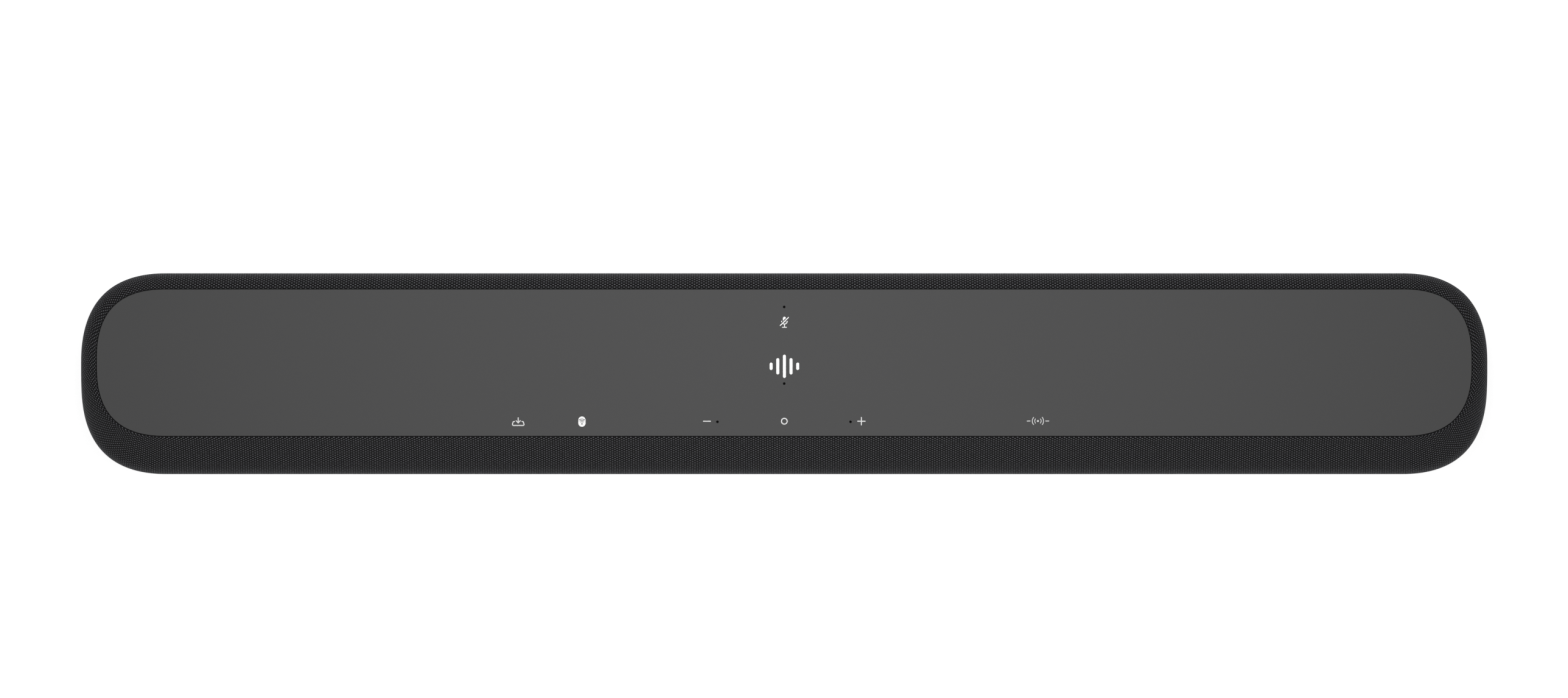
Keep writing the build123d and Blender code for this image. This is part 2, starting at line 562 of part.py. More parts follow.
def power_transformer():
    """A ferrite core of two flanges and a leg, with the winding round the leg."""
    x, y, half_x, half_y, leg_half, flange, leg = 94.0, 4.0, 16.0, 13.0, 5.0, 6.0, 14.0
    levels = [BOARD_HIGH, BOARD_HIGH + flange, BOARD_HIGH + flange + leg, BOARD_HIGH + 2 * flange + leg]
    whole_y = (y - half_y, y + half_y)
    core = block((x - half_x, x + half_x), whole_y, (levels[0], levels[1]))
    core += block((x - half_x, x + half_x), whole_y, (levels[2], levels[3]))
    core += block((x - leg_half, x + leg_half), whole_y, (levels[1] - 1, levels[2] + 1))
    inset, gap = 2.0, 0.1
    winding = block((x - half_x + inset, x + half_x - inset), (y - half_y + inset, y + half_y - inset),
                    (levels[1] + gap, levels[2] - gap))
    winding -= block((x - leg_half - gap, x + leg_half + gap), whole_y, (levels[0], levels[3]))
    return [core, winding]


def wifi_antennas():
    return [block((x - 24, x + 24), ANTENNA_Y, (DECK_Z - 1.1, DECK_Z - 0.1)) for x in (-ANTENNA_X, ANTENNA_X)]


# ---------------------------------------------------------------- what both sorts of driver share

def cap(rim_r, apex_z, rim_z, thick):
    """A spherical dust cap whose apex points to -Z."""
    rise = rim_z - apex_z
    radius = (rim_r**2 + rise**2) / (2 * rise)
    centre = (0.0, apex_z + radius)
    rim_angle = -90 + degrees(asin(rim_r / radius))
    return turned(arc(centre, radius, -90, rim_angle), arc(centre, radius - thick, rim_angle, -90))


def ear_places(reach):
    return [Rot(0, 0, 45 + 90 * step) * Pos(reach, 0, 0) for step in range(4)]


def ears(reach, radius, inner, thick):
    """Four rounded ears, each with a clearance hole, on a flange of the given inner radius."""
    flat = Pos(reach, 0) * Circle(radius) + Pos((inner + reach) / 2, 0) * Rectangle(reach - inner, 2 * radius)
    flat -= Pos(reach, 0) * Circle(DRIVER_SCREW_R + 0.1)
    flat -= Circle(inner)
    ear = extrude(flat, thick)
    return [Rot(0, 0, 45 + 90 * step) * ear for step in range(4)]


def woofer_place(sign):
    return Location((sign * WOOFER_X, 0, WOOFER_SEAT_Z))


def front_place(sign):
    origin = (sign * MID_X, ENCLOSURE_Y[0] - MID_FLANGE, MID_Z)
    return Plane(origin, x_dir=(1, 0, 0), z_dir=(0, 1, 0)).location


def side_place(sign):
    origin = (sign * (ENCLOSURE_X[1] + MID_FLANGE), MID_SIDE_Y, MID_Z)
    return Plane(origin, x_dir=(0, 1, 0), z_dir=(-sign, 0, 0)).location


# ---------------------------------------------------------------- woofers, cone facing -Z

def woofer():
    """The parts of one woofer about Z, with its seat at z = 0 and its motor above."""
    rim_in, rim_out, lip, spider_ledge, plate_low, plate_high = 38.2, 41.2, 0.8, 19.2, 22.0, 23.4
    basket = turned((rim_in, lip), (rim_out, lip), (rim_out, 0), (43, 0), (43, WOOFER_FLANGE),
                    (41.6, WOOFER_FLANGE), (41.6, 11), (31, spider_ledge), (31, plate_high), (19, plate_high),
                    (19, plate_low), (29.6, plate_low), (29.6, 20.6), (26.6, 20.6), (26.6, spider_ledge),
                    (29, spider_ledge), (40.2, 10.4), (40.2, WOOFER_FLANGE), (rim_in, WOOFER_FLANGE))
    basket += ears(WOOFER_EAR_R, 4.0, 42.0, WOOFER_FLANGE)
    basket += block((-5, 5), (41.0, 45.0), (3.0, 9.0))
    reach, half_angle = 46.0, radians(18)
    window = Polyline((0, 0), (reach, -reach * tan(half_angle)), (reach, reach * tan(half_angle)), close=True)
    wedge = Pos(0, 0, 3.6) * extrude(make_face(window), 13.6) - Cylinder(31.4, 100)
    basket -= [Rot(0, 0, 60 * step) * wedge for step in range(6)]

    roll_centre, roll_in, roll_out = (34.0, 1.9), 3.05, 3.75
    tab_in, tab_out, tab_low, tab_high = 28.4, rim_out - 0.1, 3.5, 4.3
    angles = [degrees(asin((z - roll_centre[1]) / r)) for z, r in
              ((0.0, roll_in), (lip, roll_out), (tab_low, roll_in), (tab_high, roll_out))]
    under = arc(roll_centre, roll_in, angles[0], 180 - angles[2])
    over = arc(roll_centre, roll_out, 180 - angles[3], angles[1])
    surround = turned(under, (tab_in, tab_low), (tab_in, tab_high), over, (tab_out, lip), (tab_out, 0))

    coil_r, skin, neck_low, neck_high = 13.1, 0.6, 15.2, 15.9
    neck = coil_r + PRESS_GAP
    cone = turned((31, tab_high), (31, tab_high + skin), (28.3, tab_high + skin), (neck + 0.75, neck_high),
                  (neck, neck_high), (neck, neck_low), (27.9, tab_high))
    dust_cap = cap(15.3, 9.6, 13.1, 0.5)
    former = turned((coil_r - 0.3, 13.9), (coil_r, 13.9), (coil_r, 34), (coil_r - 0.3, 34))
    winding = turned((coil_r + 0.02, 22.5), (coil_r + 0.8, 22.5), (coil_r + 0.8, 31.5), (coil_r + 0.02, 31.5))

    waves, inner, outer, middle, wave, half = 10, 15.0, 25.8, spider_ledge - 0.35, 0.3, 0.2
    step = (outer - inner) / waves
    crests = [(inner + k * step, middle + (wave if k % 2 else -wave)) for k in range(waves + 1)]
    hub, rim = coil_r + 0.03, 28.2
    top = [(hub, middle + half)] + [(r, z + half) for r, z in crests] + [(rim, middle + wave)]
    under = [(r, z - half) for r, z in [(hub, middle)] + crests] + [(rim, middle - 0.1)]
    spider = turned(*top, *under[::-1])

    plate_back, magnet_back, yoke_back, pole_r = 27.9, 39.9, 44.4, 12.5
    front_plate = turned((14.3, plate_high), (27, plate_high), (27, plate_back), (14.3, plate_back))
    magnet = turned((17, plate_back), (31, plate_back), (31, magnet_back), (17, magnet_back))
    yoke = turned((0, 23.9), (pole_r, 23.9), (pole_r, magnet_back), (27, magnet_back), (27, yoke_back),
                  (0, yoke_back))
    return {"basket": [basket], "motor": [front_plate, magnet, yoke], "cone": [cone, dust_cap],
            "voice_coil": [former, winding], "surround": [surround], "spider": [spider]}


# ---------------------------------------------------------------- full-range drivers, cone facing -Z

def mid_driver():
    """The parts of one small driver about Z, with its front at z = 0 and its motor above."""
    rim_in, rim_out, skirt, lip, ledge, plate_low, plate_high = 16.6, 19.3, 18.9, 0.5, 9.1, 10.2, 11.2
    frame = turned((rim_in, lip), (rim_out, lip), (rim_out, 0), (20.8, 0), (20.8, MID_FLANGE),
                   (skirt, MID_FLANGE), (skirt, 5), (14.4, 9.5), (14.4, plate_high), (9.4, plate_high), (9.4, plate_low),
                   (13.4, plate_low), (13.4, ledge), (17.8, 4.7), (17.8, 1.3), (rim_in, 1.3))
    frame += ears(MID_EAR_R, 2.8, 20.0, MID_FLANGE)

    roll_centre, roll_in, roll_out = (15.1, 0.45), 1.25, 1.65
    low, high, tab_in, tab_out = 0.05, 0.45, 12.6, rim_out - 0.1
    edge = degrees(asin((roll_centre[1] - low) / roll_out))
    surround = turned(arc(roll_centre, roll_out, -edge, edge - 180), (tab_in, low), (tab_in, high),
                      arc(roll_centre, roll_in, -180, 0), (tab_out, high), (tab_out, low))

    coil_r = 8.35
    hub = coil_r + 0.1
    spider = turned((hub, 8.5), (10, 8.9), (11, 8.4), (12, 8.9), (13.3, 8.8), (13.3, 9.05), (11.9, 9.15),
                    (11, 8.65), (10, 9.15), (hub, 8.75))
    neck = coil_r + PRESS_GAP
    cone = turned((13.8, high), (13.8, 0.8), (12.7, 0.8), (neck + 0.5, 6.9), (neck, 6.9), (neck, 6.4),
                  (12.35, high))
    dust_cap = cap(8.7, 2.6, 5.3, 0.35)
    former = turned((coil_r - 0.2, 6.0), (coil_r, 6.0), (coil_r, 15.5), (coil_r - 0.2, 15.5))
    winding = turned((coil_r + 0.02, 10.6), (coil_r + 0.5, 10.6), (coil_r + 0.5, 14.6), (coil_r + 0.02, 14.6))

    gap_r, cup_r, plate_back, magnet_back, cup_back = 9.2, 13.0, 13.8, 18.5, 21.0
    cup = turned((gap_r, plate_high), (cup_r, plate_high), (cup_r, cup_back), (0, cup_back), (0, magnet_back),
                 (10.5, magnet_back), (10.5, plate_back), (gap_r, plate_back))
    pole = turned((0, 11.4), (7.9, 11.4), (7.9, 14), (0, 14))
    magnet = turned((0, 14), (7.4, 14), (7.4, magnet_back), (0, magnet_back))
    return {"frame": [frame], "motor": [cup, magnet, pole], "cone": [cone, dust_cap],
            "voice_coil": [former, winding], "suspension": [surround, spider]}


def mid_enclosure(sign):
    """A sealed box with a hole to the front and a hole to the end for its two drivers."""
    spans = ENCLOSURE_X, ENCLOSURE_Y, ENCLOSURE_Z
    box = fillet(block(*spans).edges().filter_by(Axis.Z), ENCLOSURE_CORNER_R)
    box -= block(*[(low + ENCLOSURE_WALL, high - ENCLOSURE_WALL) for low, high in spans])
    from_base = (Align.CENTER, Align.CENTER, Align.MIN)
    for place in (front_place(1), side_place(1)):
        for ear in ear_places(MID_EAR_R):
            boss = place * ear * Pos(0, 0, MID_FLANGE)
            box += boss * Cylinder(MID_BOSS_R, MID_BOSS_LENGTH, align=from_base)
            box -= boss * Cylinder(DRIVER_SCREW_R + PRESS_GAP, MID_BOSS_LENGTH - 0.8, align=from_base)
        box -= place * Cylinder(MID_HOLE_R, 16)
    return box if sign > 0 else mirror(box, Plane.YZ)


def driver_screws():
    """Four pan-head screws in each driver's ears."""
    screws = []
    for sign in SIDES.values():
        for place, reach, flange in ((woofer_place(sign), WOOFER_EAR_R, WOOFER_FLANGE),
                                     (front_place(sign), MID_EAR_R, 0.0), (side_place(sign), MID_EAR_R, 0.0)):
            outward = 1 if flange else -1
            cross = Box(CROSS_LENGTH, CROSS_WIDTH, 1.0) + Box(CROSS_WIDTH, CROSS_LENGTH, 1.0)
            head = Cylinder(DRIVER_SCREW_HEAD_R, DRIVER_HEAD_TALL)
            shank = Cylinder(DRIVER_SCREW_R, DRIVER_SHANK)
            screw = Pos(0, 0, flange + outward * DRIVER_HEAD_TALL / 2) * head
            screw -= Pos(0, 0, flange + outward * DRIVER_HEAD_TALL) * cross
            screw += Pos(0, 0, flange - outward * (DRIVER_SHANK / 2 - 0.1)) * shank
            screws += [place * ear * screw for ear in ear_places(reach)]
    return screws


# ---------------------------------------------------------------- wiring

def wire_routes():
    """Corner points of each round lead, from the amplifier or the inlet to what it feeds."""
    routes = []
    for side, sign in SIDES.items():
        plug_x = AMP_PLUG_X + 3.0 + sign * 6.0
        woofer_z = LEAD_Z[side]
        routes.append(lead_along(plug_x, woofer_z, sign * WOOFER_X, sign)
                      + [(sign * WOOFER_X, LEAD_Y, WOOFER_SEAT_Z + 9.0)])
        small_z, x = woofer_z + SMALL_LEAD_RISE[side], sign * SMALL_LEAD_X
        entry = [(x, LEAD_Y, SMALL_LEAD_ENTRY_Z)] if small_z > ENCLOSURE_Z[1] else []
        last_z = SMALL_LEAD_ENTRY_Z if entry else small_z
        routes.append(lead_along(plug_x - 6.0, small_z, x, sign) + entry + [(x, ENCLOSURE_Y[1], last_z)])
    routes.append([(INLET_X, INLET_FRONT_Y, INLET_LEAD_Z), (INLET_X, SUPPLY_PLUG_Y, INLET_LEAD_Z),
                   (SUPPLY_PLUG_X, SUPPLY_PLUG_Y, INLET_LEAD_Z)])
    return routes


def lead_along(plug_x, height, far_x, sign):
    """A lead's way up from the amplifier's plug and along the back of the housing."""
    return [(plug_x, AMP_PLUG_Y, AMP_PLUG_TOP), (plug_x, AMP_PLUG_Y, height),
            (plug_x + sign * 20.0, LEAD_Y, height), (far_x, LEAD_Y, height)]


def lead(points, radius=LEAD_R):
    lengths = [(Vector(*b) - Vector(*a)).length for a, b in zip(points, points[1:])]
    bends = [min(LEAD_BEND, 0.42 * min(pair)) for pair in zip(lengths, lengths[1:])]
    path = FilletPolyline(*points, radius=bends)
    return sweep(Plane(path @ 0, z_dir=path % 0) * Circle(radius), path)


def touch_ribbon():
    """The flat cable from the main board up to the touch board."""
    path = Polyline(RIBBON_LOW, (RIBBON_LOW[0], 44.0), (RIBBON_HIGH[0], 50.0), RIBBON_HIGH)
    return extrude(Plane.YZ.offset(RIBBON_X - RIBBON_HALF) * trace(path, RIBBON_THICK), 2 * RIBBON_HALF)


# ---------------------------------------------------------------- write every node

save("fabric_wrap", fabric_wrap())
save("top_panel", top_panel())
save("upper_housing", upper_housing())
save("lower_housing", lower_housing())
save("base_cover", base_cover())
save("rubber_feet", *rubber_feet())
save("base_screws", *base_screws())
save("wall_mount_inserts", *wall_mount_inserts())
save("woofer_grilles", *woofer_grilles())
save("touch_board", *touch_board())
save("microphones", *microphones())
save("mic_seals", *mic_seals())
save("led_light_guide", led_light_guide())
save("led_board", *led_board())
save("connector_bay", connector_bay())
save("power_inlet", *power_inlet())
save("hdmi_socket", *hdmi_socket())
save("usb_socket", *usb_socket())
save("main_board", *main_board())
save("amplifier_board", *amplifier_board())
save("amplifier_heatsink", amplifier_heatsink())
save("power_supply_board", *power_supply_board())
save("power_transformer", *power_transformer())
save("wifi_antennas", *wifi_antennas())

save("driver_screws", *driver_screws())
save("internal_wiring", *[lead(points) for points in wire_routes()], touch_ribbon())

woofer_parts = woofer()
mid_parts = mid_driver()
for side, sign in SIDES.items():
    save(f"mid_enclosure_{side}", mid_enclosure(sign))
    for part, solids in woofer_parts.items():
        save(f"woofer_{side}_{part}", *[woofer_place(sign) * solid for solid in solids])
    for where, place in (("front", front_place(sign)), ("side", side_place(sign))):
        for part, solids in mid_parts.items():
            save(f"{where}_driver_{side}_{part}", *[place * solid for solid in solids])
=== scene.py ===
"""The looks of the soundbar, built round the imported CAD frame. Metres, in the frame's own axes."""

import json
from math import asin, cos, degrees, pi, radians, sin, sqrt, tan

import bmesh
import bpy
import numpy as np
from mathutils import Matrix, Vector


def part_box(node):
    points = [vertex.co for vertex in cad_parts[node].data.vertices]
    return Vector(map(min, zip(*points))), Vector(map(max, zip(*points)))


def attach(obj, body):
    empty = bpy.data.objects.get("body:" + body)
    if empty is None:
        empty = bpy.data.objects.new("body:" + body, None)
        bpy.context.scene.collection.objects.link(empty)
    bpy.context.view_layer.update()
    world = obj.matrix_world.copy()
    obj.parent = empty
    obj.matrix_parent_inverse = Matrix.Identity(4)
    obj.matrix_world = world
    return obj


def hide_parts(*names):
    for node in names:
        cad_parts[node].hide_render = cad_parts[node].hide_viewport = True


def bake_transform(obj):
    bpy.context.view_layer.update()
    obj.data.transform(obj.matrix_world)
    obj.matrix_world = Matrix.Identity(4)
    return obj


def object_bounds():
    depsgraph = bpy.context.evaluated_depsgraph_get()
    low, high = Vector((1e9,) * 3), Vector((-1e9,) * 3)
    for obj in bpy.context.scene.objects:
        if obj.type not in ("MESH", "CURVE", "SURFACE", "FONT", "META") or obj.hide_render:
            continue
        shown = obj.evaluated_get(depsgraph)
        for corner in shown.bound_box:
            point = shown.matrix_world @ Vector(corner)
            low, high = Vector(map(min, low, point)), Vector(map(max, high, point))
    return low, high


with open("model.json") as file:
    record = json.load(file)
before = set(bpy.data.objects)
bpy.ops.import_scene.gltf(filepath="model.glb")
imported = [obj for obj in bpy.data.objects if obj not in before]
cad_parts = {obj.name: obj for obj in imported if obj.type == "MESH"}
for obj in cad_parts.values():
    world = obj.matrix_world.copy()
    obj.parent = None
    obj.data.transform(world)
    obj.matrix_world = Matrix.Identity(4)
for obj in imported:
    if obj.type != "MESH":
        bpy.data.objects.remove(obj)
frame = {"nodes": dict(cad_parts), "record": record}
cad_low, cad_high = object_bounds()

MM = 0.001
ROOT = "bar"
TOP = cad_high.z
RIGHT, BACK, UP = (1, 0, 0), (0, 1, 0), (0, 0, 1)

# ---------------------------------------------------------------- the cloth's form, as the CAD has it

cloth_low, cloth_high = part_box("fabric_wrap")
panel_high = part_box("top_panel")[1]

HALF_X = cloth_high.x
HALF_Y = cloth_high.y
CLOTH_BOTTOM = cloth_low.z
GROOVE = 0.35 * MM  # width of the groove round the panel
GROOVE_DEPTH = 1.9 * MM  # how far the cloth reaches down into it
CLOTH_THICK = 0.8 * MM
BOTTOM_ROLL = 8.0 * MM  # radius of the turn under the bar
TOP_ROLL_WIDTH = HALF_X - panel_high.x - GROOVE  # of the roll to the panel at the back and the ends
TOP_ROLL_DROP = 10.0 * MM
SHOULDER = 12.0 * MM  # radius between the front facet and the front face
SHOULDER_Z = 44.5 * MM  # height where the front face starts to turn
SLOPE = radians(38)  # the front facet's fall
LOW_TURN_Z = CLOTH_BOTTOM + BOTTOM_ROLL

CORNER = (42.0 * MM, 44.0 * MM)  # length of the plan corner curve along X and Y
CORNER_SHRINK = (1.1, 1.34)  # how fast it shortens as the outline moves in
CORNER_FULLNESS = 0.66  # handle length of the corner curve, as a share of its side
LEAST_END = 1.0 * MM  # shortest straight between two corners

CORNER_STEPS = 40
LONG_STEPS = 120
SHORT_STEPS = 8
STRAIGHT_STEPS = (LONG_STEPS // 2, SHORT_STEPS, LONG_STEPS, SHORT_STEPS, LONG_STEPS // 2)
FRONTNESS = (1, 0, 0, 0, 1)  # on each straight: 1 has the front's section, 0 the section of the back and ends

# Where the cloth turns over the groove's edge, as (out from the groove, below the top) in millimetres.
TURN_START_FRONT, TURN_START_SIDE = 0.9 * MM, 0.8 * MM
TURN_FRONT = [(0.02, 0.62), (0.12, 0.46), (0.30, 0.40), (0.55, 0.48)]
TURN_SIDE = [(0.02, 0.38), (0.12, 0.17), (0.28, 0.06), (0.50, 0.03)]
TURN_END = 0.45 * MM
ROLL_START = 0.86  # share of the top roll's turn where its rows begin
ROLL_ROWS, SHOULDER_ROWS, FACE_ROWS, LOW_TURN_ROWS = 22, 10, 16, 14

COLUMN, ROW = 1.17 * MM, 0.70 * MM  # the weave's pitch along and down the cloth

# The cloth's hole round the socket bay: half its width and height, its middle, corner and depth either way.
BAY_HOLE = (61.0 * MM, 11.0 * MM)
BAY_HOLE_Z = 25.0 * MM
BAY_HOLE_CORNER = 4.0 * MM
BAY_HOLE_REACH = 4.0 * MM


def bottom_inset(z):
    """How far the cloth's surface lies behind its widest outline at height z, in the roll under the bar."""
    below = LOW_TURN_Z - z
    return BOTTOM_ROLL - sqrt(max(0.0, BOTTOM_ROLL**2 - below**2))


def front_inset(z):
    """The same for the front: an upright face, a shoulder and a straight facet to the panel."""
    if z < LOW_TURN_Z:
        return bottom_inset(z)
    turn = pi / 2 - SLOPE
    tangent_z = SHOULDER_Z + SHOULDER * sin(turn)
    if z <= SHOULDER_Z:
        return 0.0
    if z <= tangent_z:
        return SHOULDER - sqrt(SHOULDER**2 - (z - SHOULDER_Z) ** 2)
    return SHOULDER * (1 - cos(turn)) + (z - tangent_z) / tan(SLOPE)


def side_inset(z):
    """The same for the back and the ends: an upright face and a small elliptical roll."""
    if z < LOW_TURN_Z:
        return bottom_inset(z)
    share = min(1.0, max(0.0, (z - TOP + TOP_ROLL_DROP) / TOP_ROLL_DROP))
    return TOP_ROLL_WIDTH * (1 - sqrt(1 - share**2))


def bezier(points, t):
    """The point at t, from 0 to 1, on a cubic curve with four handles."""
    a, b, c, d = (np.array(p) for p in points)
    s = 1 - t
    return a * s**3 + 3 * b * s * s * t + 3 * c * s * t * t + d * t**3


def outline(front, side):
    """Plan points round the bar, anticlockwise from the middle of the front, and the frontness of each."""
    half_x = HALF_X - side
    y_front, y_back = -HALF_Y + front, HALF_Y - side
    reach_x = CORNER[0] - CORNER_SHRINK[0] * side
    reach_y = min(CORNER[1] - CORNER_SHRINK[1] * side, (y_back - y_front) / 2 - LEAST_END / 2)
    near = 1 - CORNER_FULLNESS

    def corner(right, edge, inward):
        """Handles of the curve from the front or back edge to an end of the bar."""
        return [(right * (half_x - reach_x), edge), (right * (half_x - reach_x * near), edge),
                (right * half_x, edge + inward * reach_y * near), (right * half_x, edge + inward * reach_y)]

    corners = [corner(1, y_front, 1), corner(1, y_back, -1)[::-1]]
    corners += [corner(-1, y_back, -1), corner(-1, y_front, 1)[::-1]]
    middle = (0.0, y_front)
    starts = [middle] + [curve[-1] for curve in corners]
    ends = [curve[0] for curve in corners] + [middle]
    points, frontness = [], []
    for number, (start, end, steps) in enumerate(zip(starts, ends, STRAIGHT_STEPS)):
        start, end = np.array(start), np.array(end)
        points += [start + (end - start) * k / steps for k in range(steps)]
        frontness += [FRONTNESS[number]] * steps
        if number < len(corners):
            rise = FRONTNESS[number + 1] - FRONTNESS[number]
            points += [bezier(corners[number], k / CORNER_STEPS) for k in range(CORNER_STEPS)]
            frontness += [FRONTNESS[number] + rise * k / CORNER_STEPS for k in range(CORNER_STEPS)]
    return np.array(points), np.array(frontness)


def profile_rows():
    """The cloth's section as (front inset, side inset, front z, side z), from the groove to under the bar."""
    edge_front, edge_side = front_inset(TOP), side_inset(TOP)
    rows = [(edge_front, edge_side, TOP - GROOVE_DEPTH, TOP - GROOVE_DEPTH),
            (edge_front, edge_side, TOP - TURN_START_FRONT, TOP - TURN_START_SIDE)]
    for (out_front, down_front), (out_side, down_side) in zip(TURN_FRONT, TURN_SIDE):
        rows.append((edge_front - out_front * MM, edge_side - out_side * MM,
                     TOP - down_front * MM, TOP - down_side * MM))
    turns = np.linspace(ROLL_START, 0.0, ROLL_ROWS)
    heights = [TOP - TOP_ROLL_DROP * (1 - sin(pi / 2 * share)) for share in turns]
    heights = [z for z in heights if z < TOP - TURN_END]
    heights += list(np.linspace(heights[-1], SHOULDER_Z, SHOULDER_ROWS)[1:])
    heights += list(np.linspace(SHOULDER_Z, LOW_TURN_Z, FACE_ROWS)[1:])
    heights += [LOW_TURN_Z - BOTTOM_ROLL * sin(a) for a in np.linspace(0, pi / 2, LOW_TURN_ROWS)[1:]]
    return rows + [(front_inset(z), side_inset(z), z, z) for z in heights]


def smoothstep(share):
    """Eases a share from 0 to 1 at both ends."""
    return share * share * (3 - 2 * share)


def cloth_grid():
    """The cloth's outer surface as rows of points round the bar, from the groove to under the bar."""
    rows = []
    for front, side, z_front, z_side in profile_rows():
        plan, frontness = outline(front, side)
        z = z_side + (z_front - z_side) * smoothstep(frontness)
        rows.append(np.column_stack([plan, z]))
    return np.array(rows)


def weave_lengths(grid):
    """How far each point lies along the cloth, as on the widest row, but evenly spread round each end."""
    steps = np.linalg.norm(np.roll(grid, -1, axis=1) - grid, axis=2)
    widest = steps[np.argmin(np.abs(grid[:, 0, 2] - SHOULDER_Z))]
    lengths = np.tile(widest, (len(grid), 1))
    turn = 2 * CORNER_STEPS + SHORT_STEPS
    for first in (LONG_STEPS // 2, LONG_STEPS // 2 + turn + LONG_STEPS):
        end = slice(first, first + turn)
        lengths[:, end] = steps[:, end] * widest[end].sum() / steps[:, end].sum(axis=1, keepdims=True)
    along = np.hstack([np.zeros((len(grid), 1)), np.cumsum(lengths, axis=1)])
    repeat = 2 * COLUMN
    return along * round(along[0, -1] / repeat) * repeat / along[0, -1]


def weave_falls(grid):
    """How far each point of a row lies below the row before it, square to the rows."""
    heading = np.roll(grid, -1, axis=1) - np.roll(grid, 1, axis=1)
    heading = heading[1:] + heading[:-1]
    heading /= np.linalg.norm(heading, axis=2, keepdims=True)
    steps = np.diff(grid, axis=0)
    return np.linalg.norm(steps - (steps * heading).sum(axis=2, keepdims=True) * heading, axis=2)


def make_object(name, mesh):
    """A mesh as an object in the scene."""
    piece = bpy.data.objects.new(name, mesh)
    bpy.context.scene.collection.objects.link(piece)
    return piece


def grid_mesh(name, grid):
    """A closed belt of quads from rows of points, with a UV map in metres along and down the cloth.

    The map's two ends meet at the middle of the back.
    """
    n_rows, n_cols = grid.shape[:2]
    along = weave_lengths(grid)
    down = np.vstack([np.zeros(n_cols), np.cumsum(weave_falls(grid), axis=0)])
    faces, places = [], []
    for r in range(n_rows - 1):
        for c in range(n_cols):
            before = along[0, -1] if c >= n_cols // 2 else 0.0
            ring = ((r, c), (r + 1, c), (r + 1, c + 1), (r, c + 1))
            faces.append([row * n_cols + column % n_cols for row, column in ring])
            places += [(along[row, column] - before, down[row, column % n_cols]) for row, column in ring]
    mesh = bpy.data.meshes.new(name)
    mesh.from_pydata([tuple(point) for point in grid.reshape(-1, 3)], [], faces)
    mesh.uv_layers.new(name="Weave").data.foreach_set("uv", np.array(places, np.float32).ravel())
    mesh.polygons.foreach_set("use_smooth", [True] * len(faces))
    mesh.update()
    return mesh


def applied(piece):
    """Replaces a piece's mesh by what its modifiers make of it."""
    graph = bpy.context.evaluated_depsgraph_get()
    made = piece.evaluated_get(graph)
    mesh = bpy.data.meshes.new_from_object(made, preserve_all_data_layers=True, depsgraph=graph)
    piece.modifiers.clear()
    piece.data = mesh
    return piece


def boolean(piece, cutter, operation="DIFFERENCE"):
    """Cuts the cutter from a piece, or joins it on, and removes the cutter."""
    step = piece.modifiers.new("cut", "BOOLEAN")
    step.operation, step.solver, step.object = operation, "EXACT", cutter
    bpy.context.view_layer.update()
    applied(piece)
    bpy.data.objects.remove(cutter)


def prism(name, outline_points, origin, across, up, depth):
    """A closed prism: a plane outline along across and up, extruded between two depths along their normal."""
    across, up = Vector(across), Vector(up)
    normal = across.cross(up)
    n = len(outline_points)
    rings = [[Vector(origin) + across * u + up * v + normal * d for u, v in outline_points] for d in depth]
    faces = [list(range(n))[::-1], [n + k for k in range(n)]]
    faces += [(k, (k + 1) % n, n + (k + 1) % n, n + k) for k in range(n)]
    mesh = bpy.data.meshes.new(name)
    mesh.from_pydata([tuple(p) for ring in rings for p in ring], [], faces)
    mesh.update()
    return make_object(name, mesh)


def arc_points(x, y, radius, start, end, steps=14):
    """Points on an arc between two angles in degrees."""
    angles = [radians(start + (end - start) * k / steps) for k in range(steps + 1)]
    return [(x + radius * cos(a), y + radius * sin(a)) for a in angles]


def rounded_rectangle(half_u, half_v, radius):
    """The outline of a rectangle with round corners, about its middle."""
    points = []
    for u_sign, v_sign, start in ((1, 1, 0), (-1, 1, 90), (-1, -1, 180), (1, -1, 270)):
        u, v = u_sign * (half_u - radius), v_sign * (half_v - radius)
        points += arc_points(u, v, radius, start, start + 90, 8)
    return points


def make_cloth():
    """The cloth as one shell with a hole round the socket bay."""
    piece = make_object("cloth_wrap", grid_mesh("cloth_wrap", cloth_grid()))
    shell = piece.modifiers.new("shell", "SOLIDIFY")
    shell.thickness, shell.offset, shell.use_even_offset = CLOTH_THICK, -1.0, False
    applied(piece)
    hole = rounded_rectangle(*BAY_HOLE, BAY_HOLE_CORNER)
    reach = (-BAY_HOLE_REACH, BAY_HOLE_REACH)
    boolean(piece, prism("bay_cutter", hole, (0, HALF_Y, BAY_HOLE_Z), RIGHT, UP, reach))
    return piece


# ---------------------------------------------------------------- printed marks and microphone meshes

INK_LOW, INK_HIGH = -0.01 * MM, 0.02 * MM  # the ink's two faces, from the panel's top
CUT_DEEPER = 3.0  # how much thicker than the ink its cutters are

# All that is printed is drawn in millimetres.
BRIGHT, SOFT, FAINT = 1.0, 0.75, 0.7  # how white a mark's ink is
PEN, FINE_PEN = 0.5, 0.4  # widths of the marks' lines
CENTRE_MARK = (0.1, 3.7)
CENTRE_PEN, CENTRE_PITCH = 1.5, 3.3
CENTRE_HEIGHTS = (2.2, 6.6, 10.1, 6.6, 2.2)
MICROPHONE_MARK = (0.1, 26.1)
SOURCE_MARK = (-132.3, -23.8)
WIRELESS_MARK = (-100.6, -23.8)
MINUS_MARK = (-38.4, -23.6)
PLUS_MARK = (38.4, -23.6)
RING_MARK = (0.06, -23.6)
SOUND_MODE_MARK = (126.2, -23.5)

MIC_PLACES = ((0.0, 33.2), (0.0, -4.9), (-33.2, -23.9), (33.0, -23.9))
MIC_MESH_RADIUS = 0.74 * MM
MIC_MESH_DOME = 0.05 * MM
MIC_MESH_THICK = 0.08 * MM
MIC_MESH_LIFT = 0.15 * MM  # above the foot of the seal
MIC_MESH_RINGS, MIC_MESH_TURNS = 6, 48


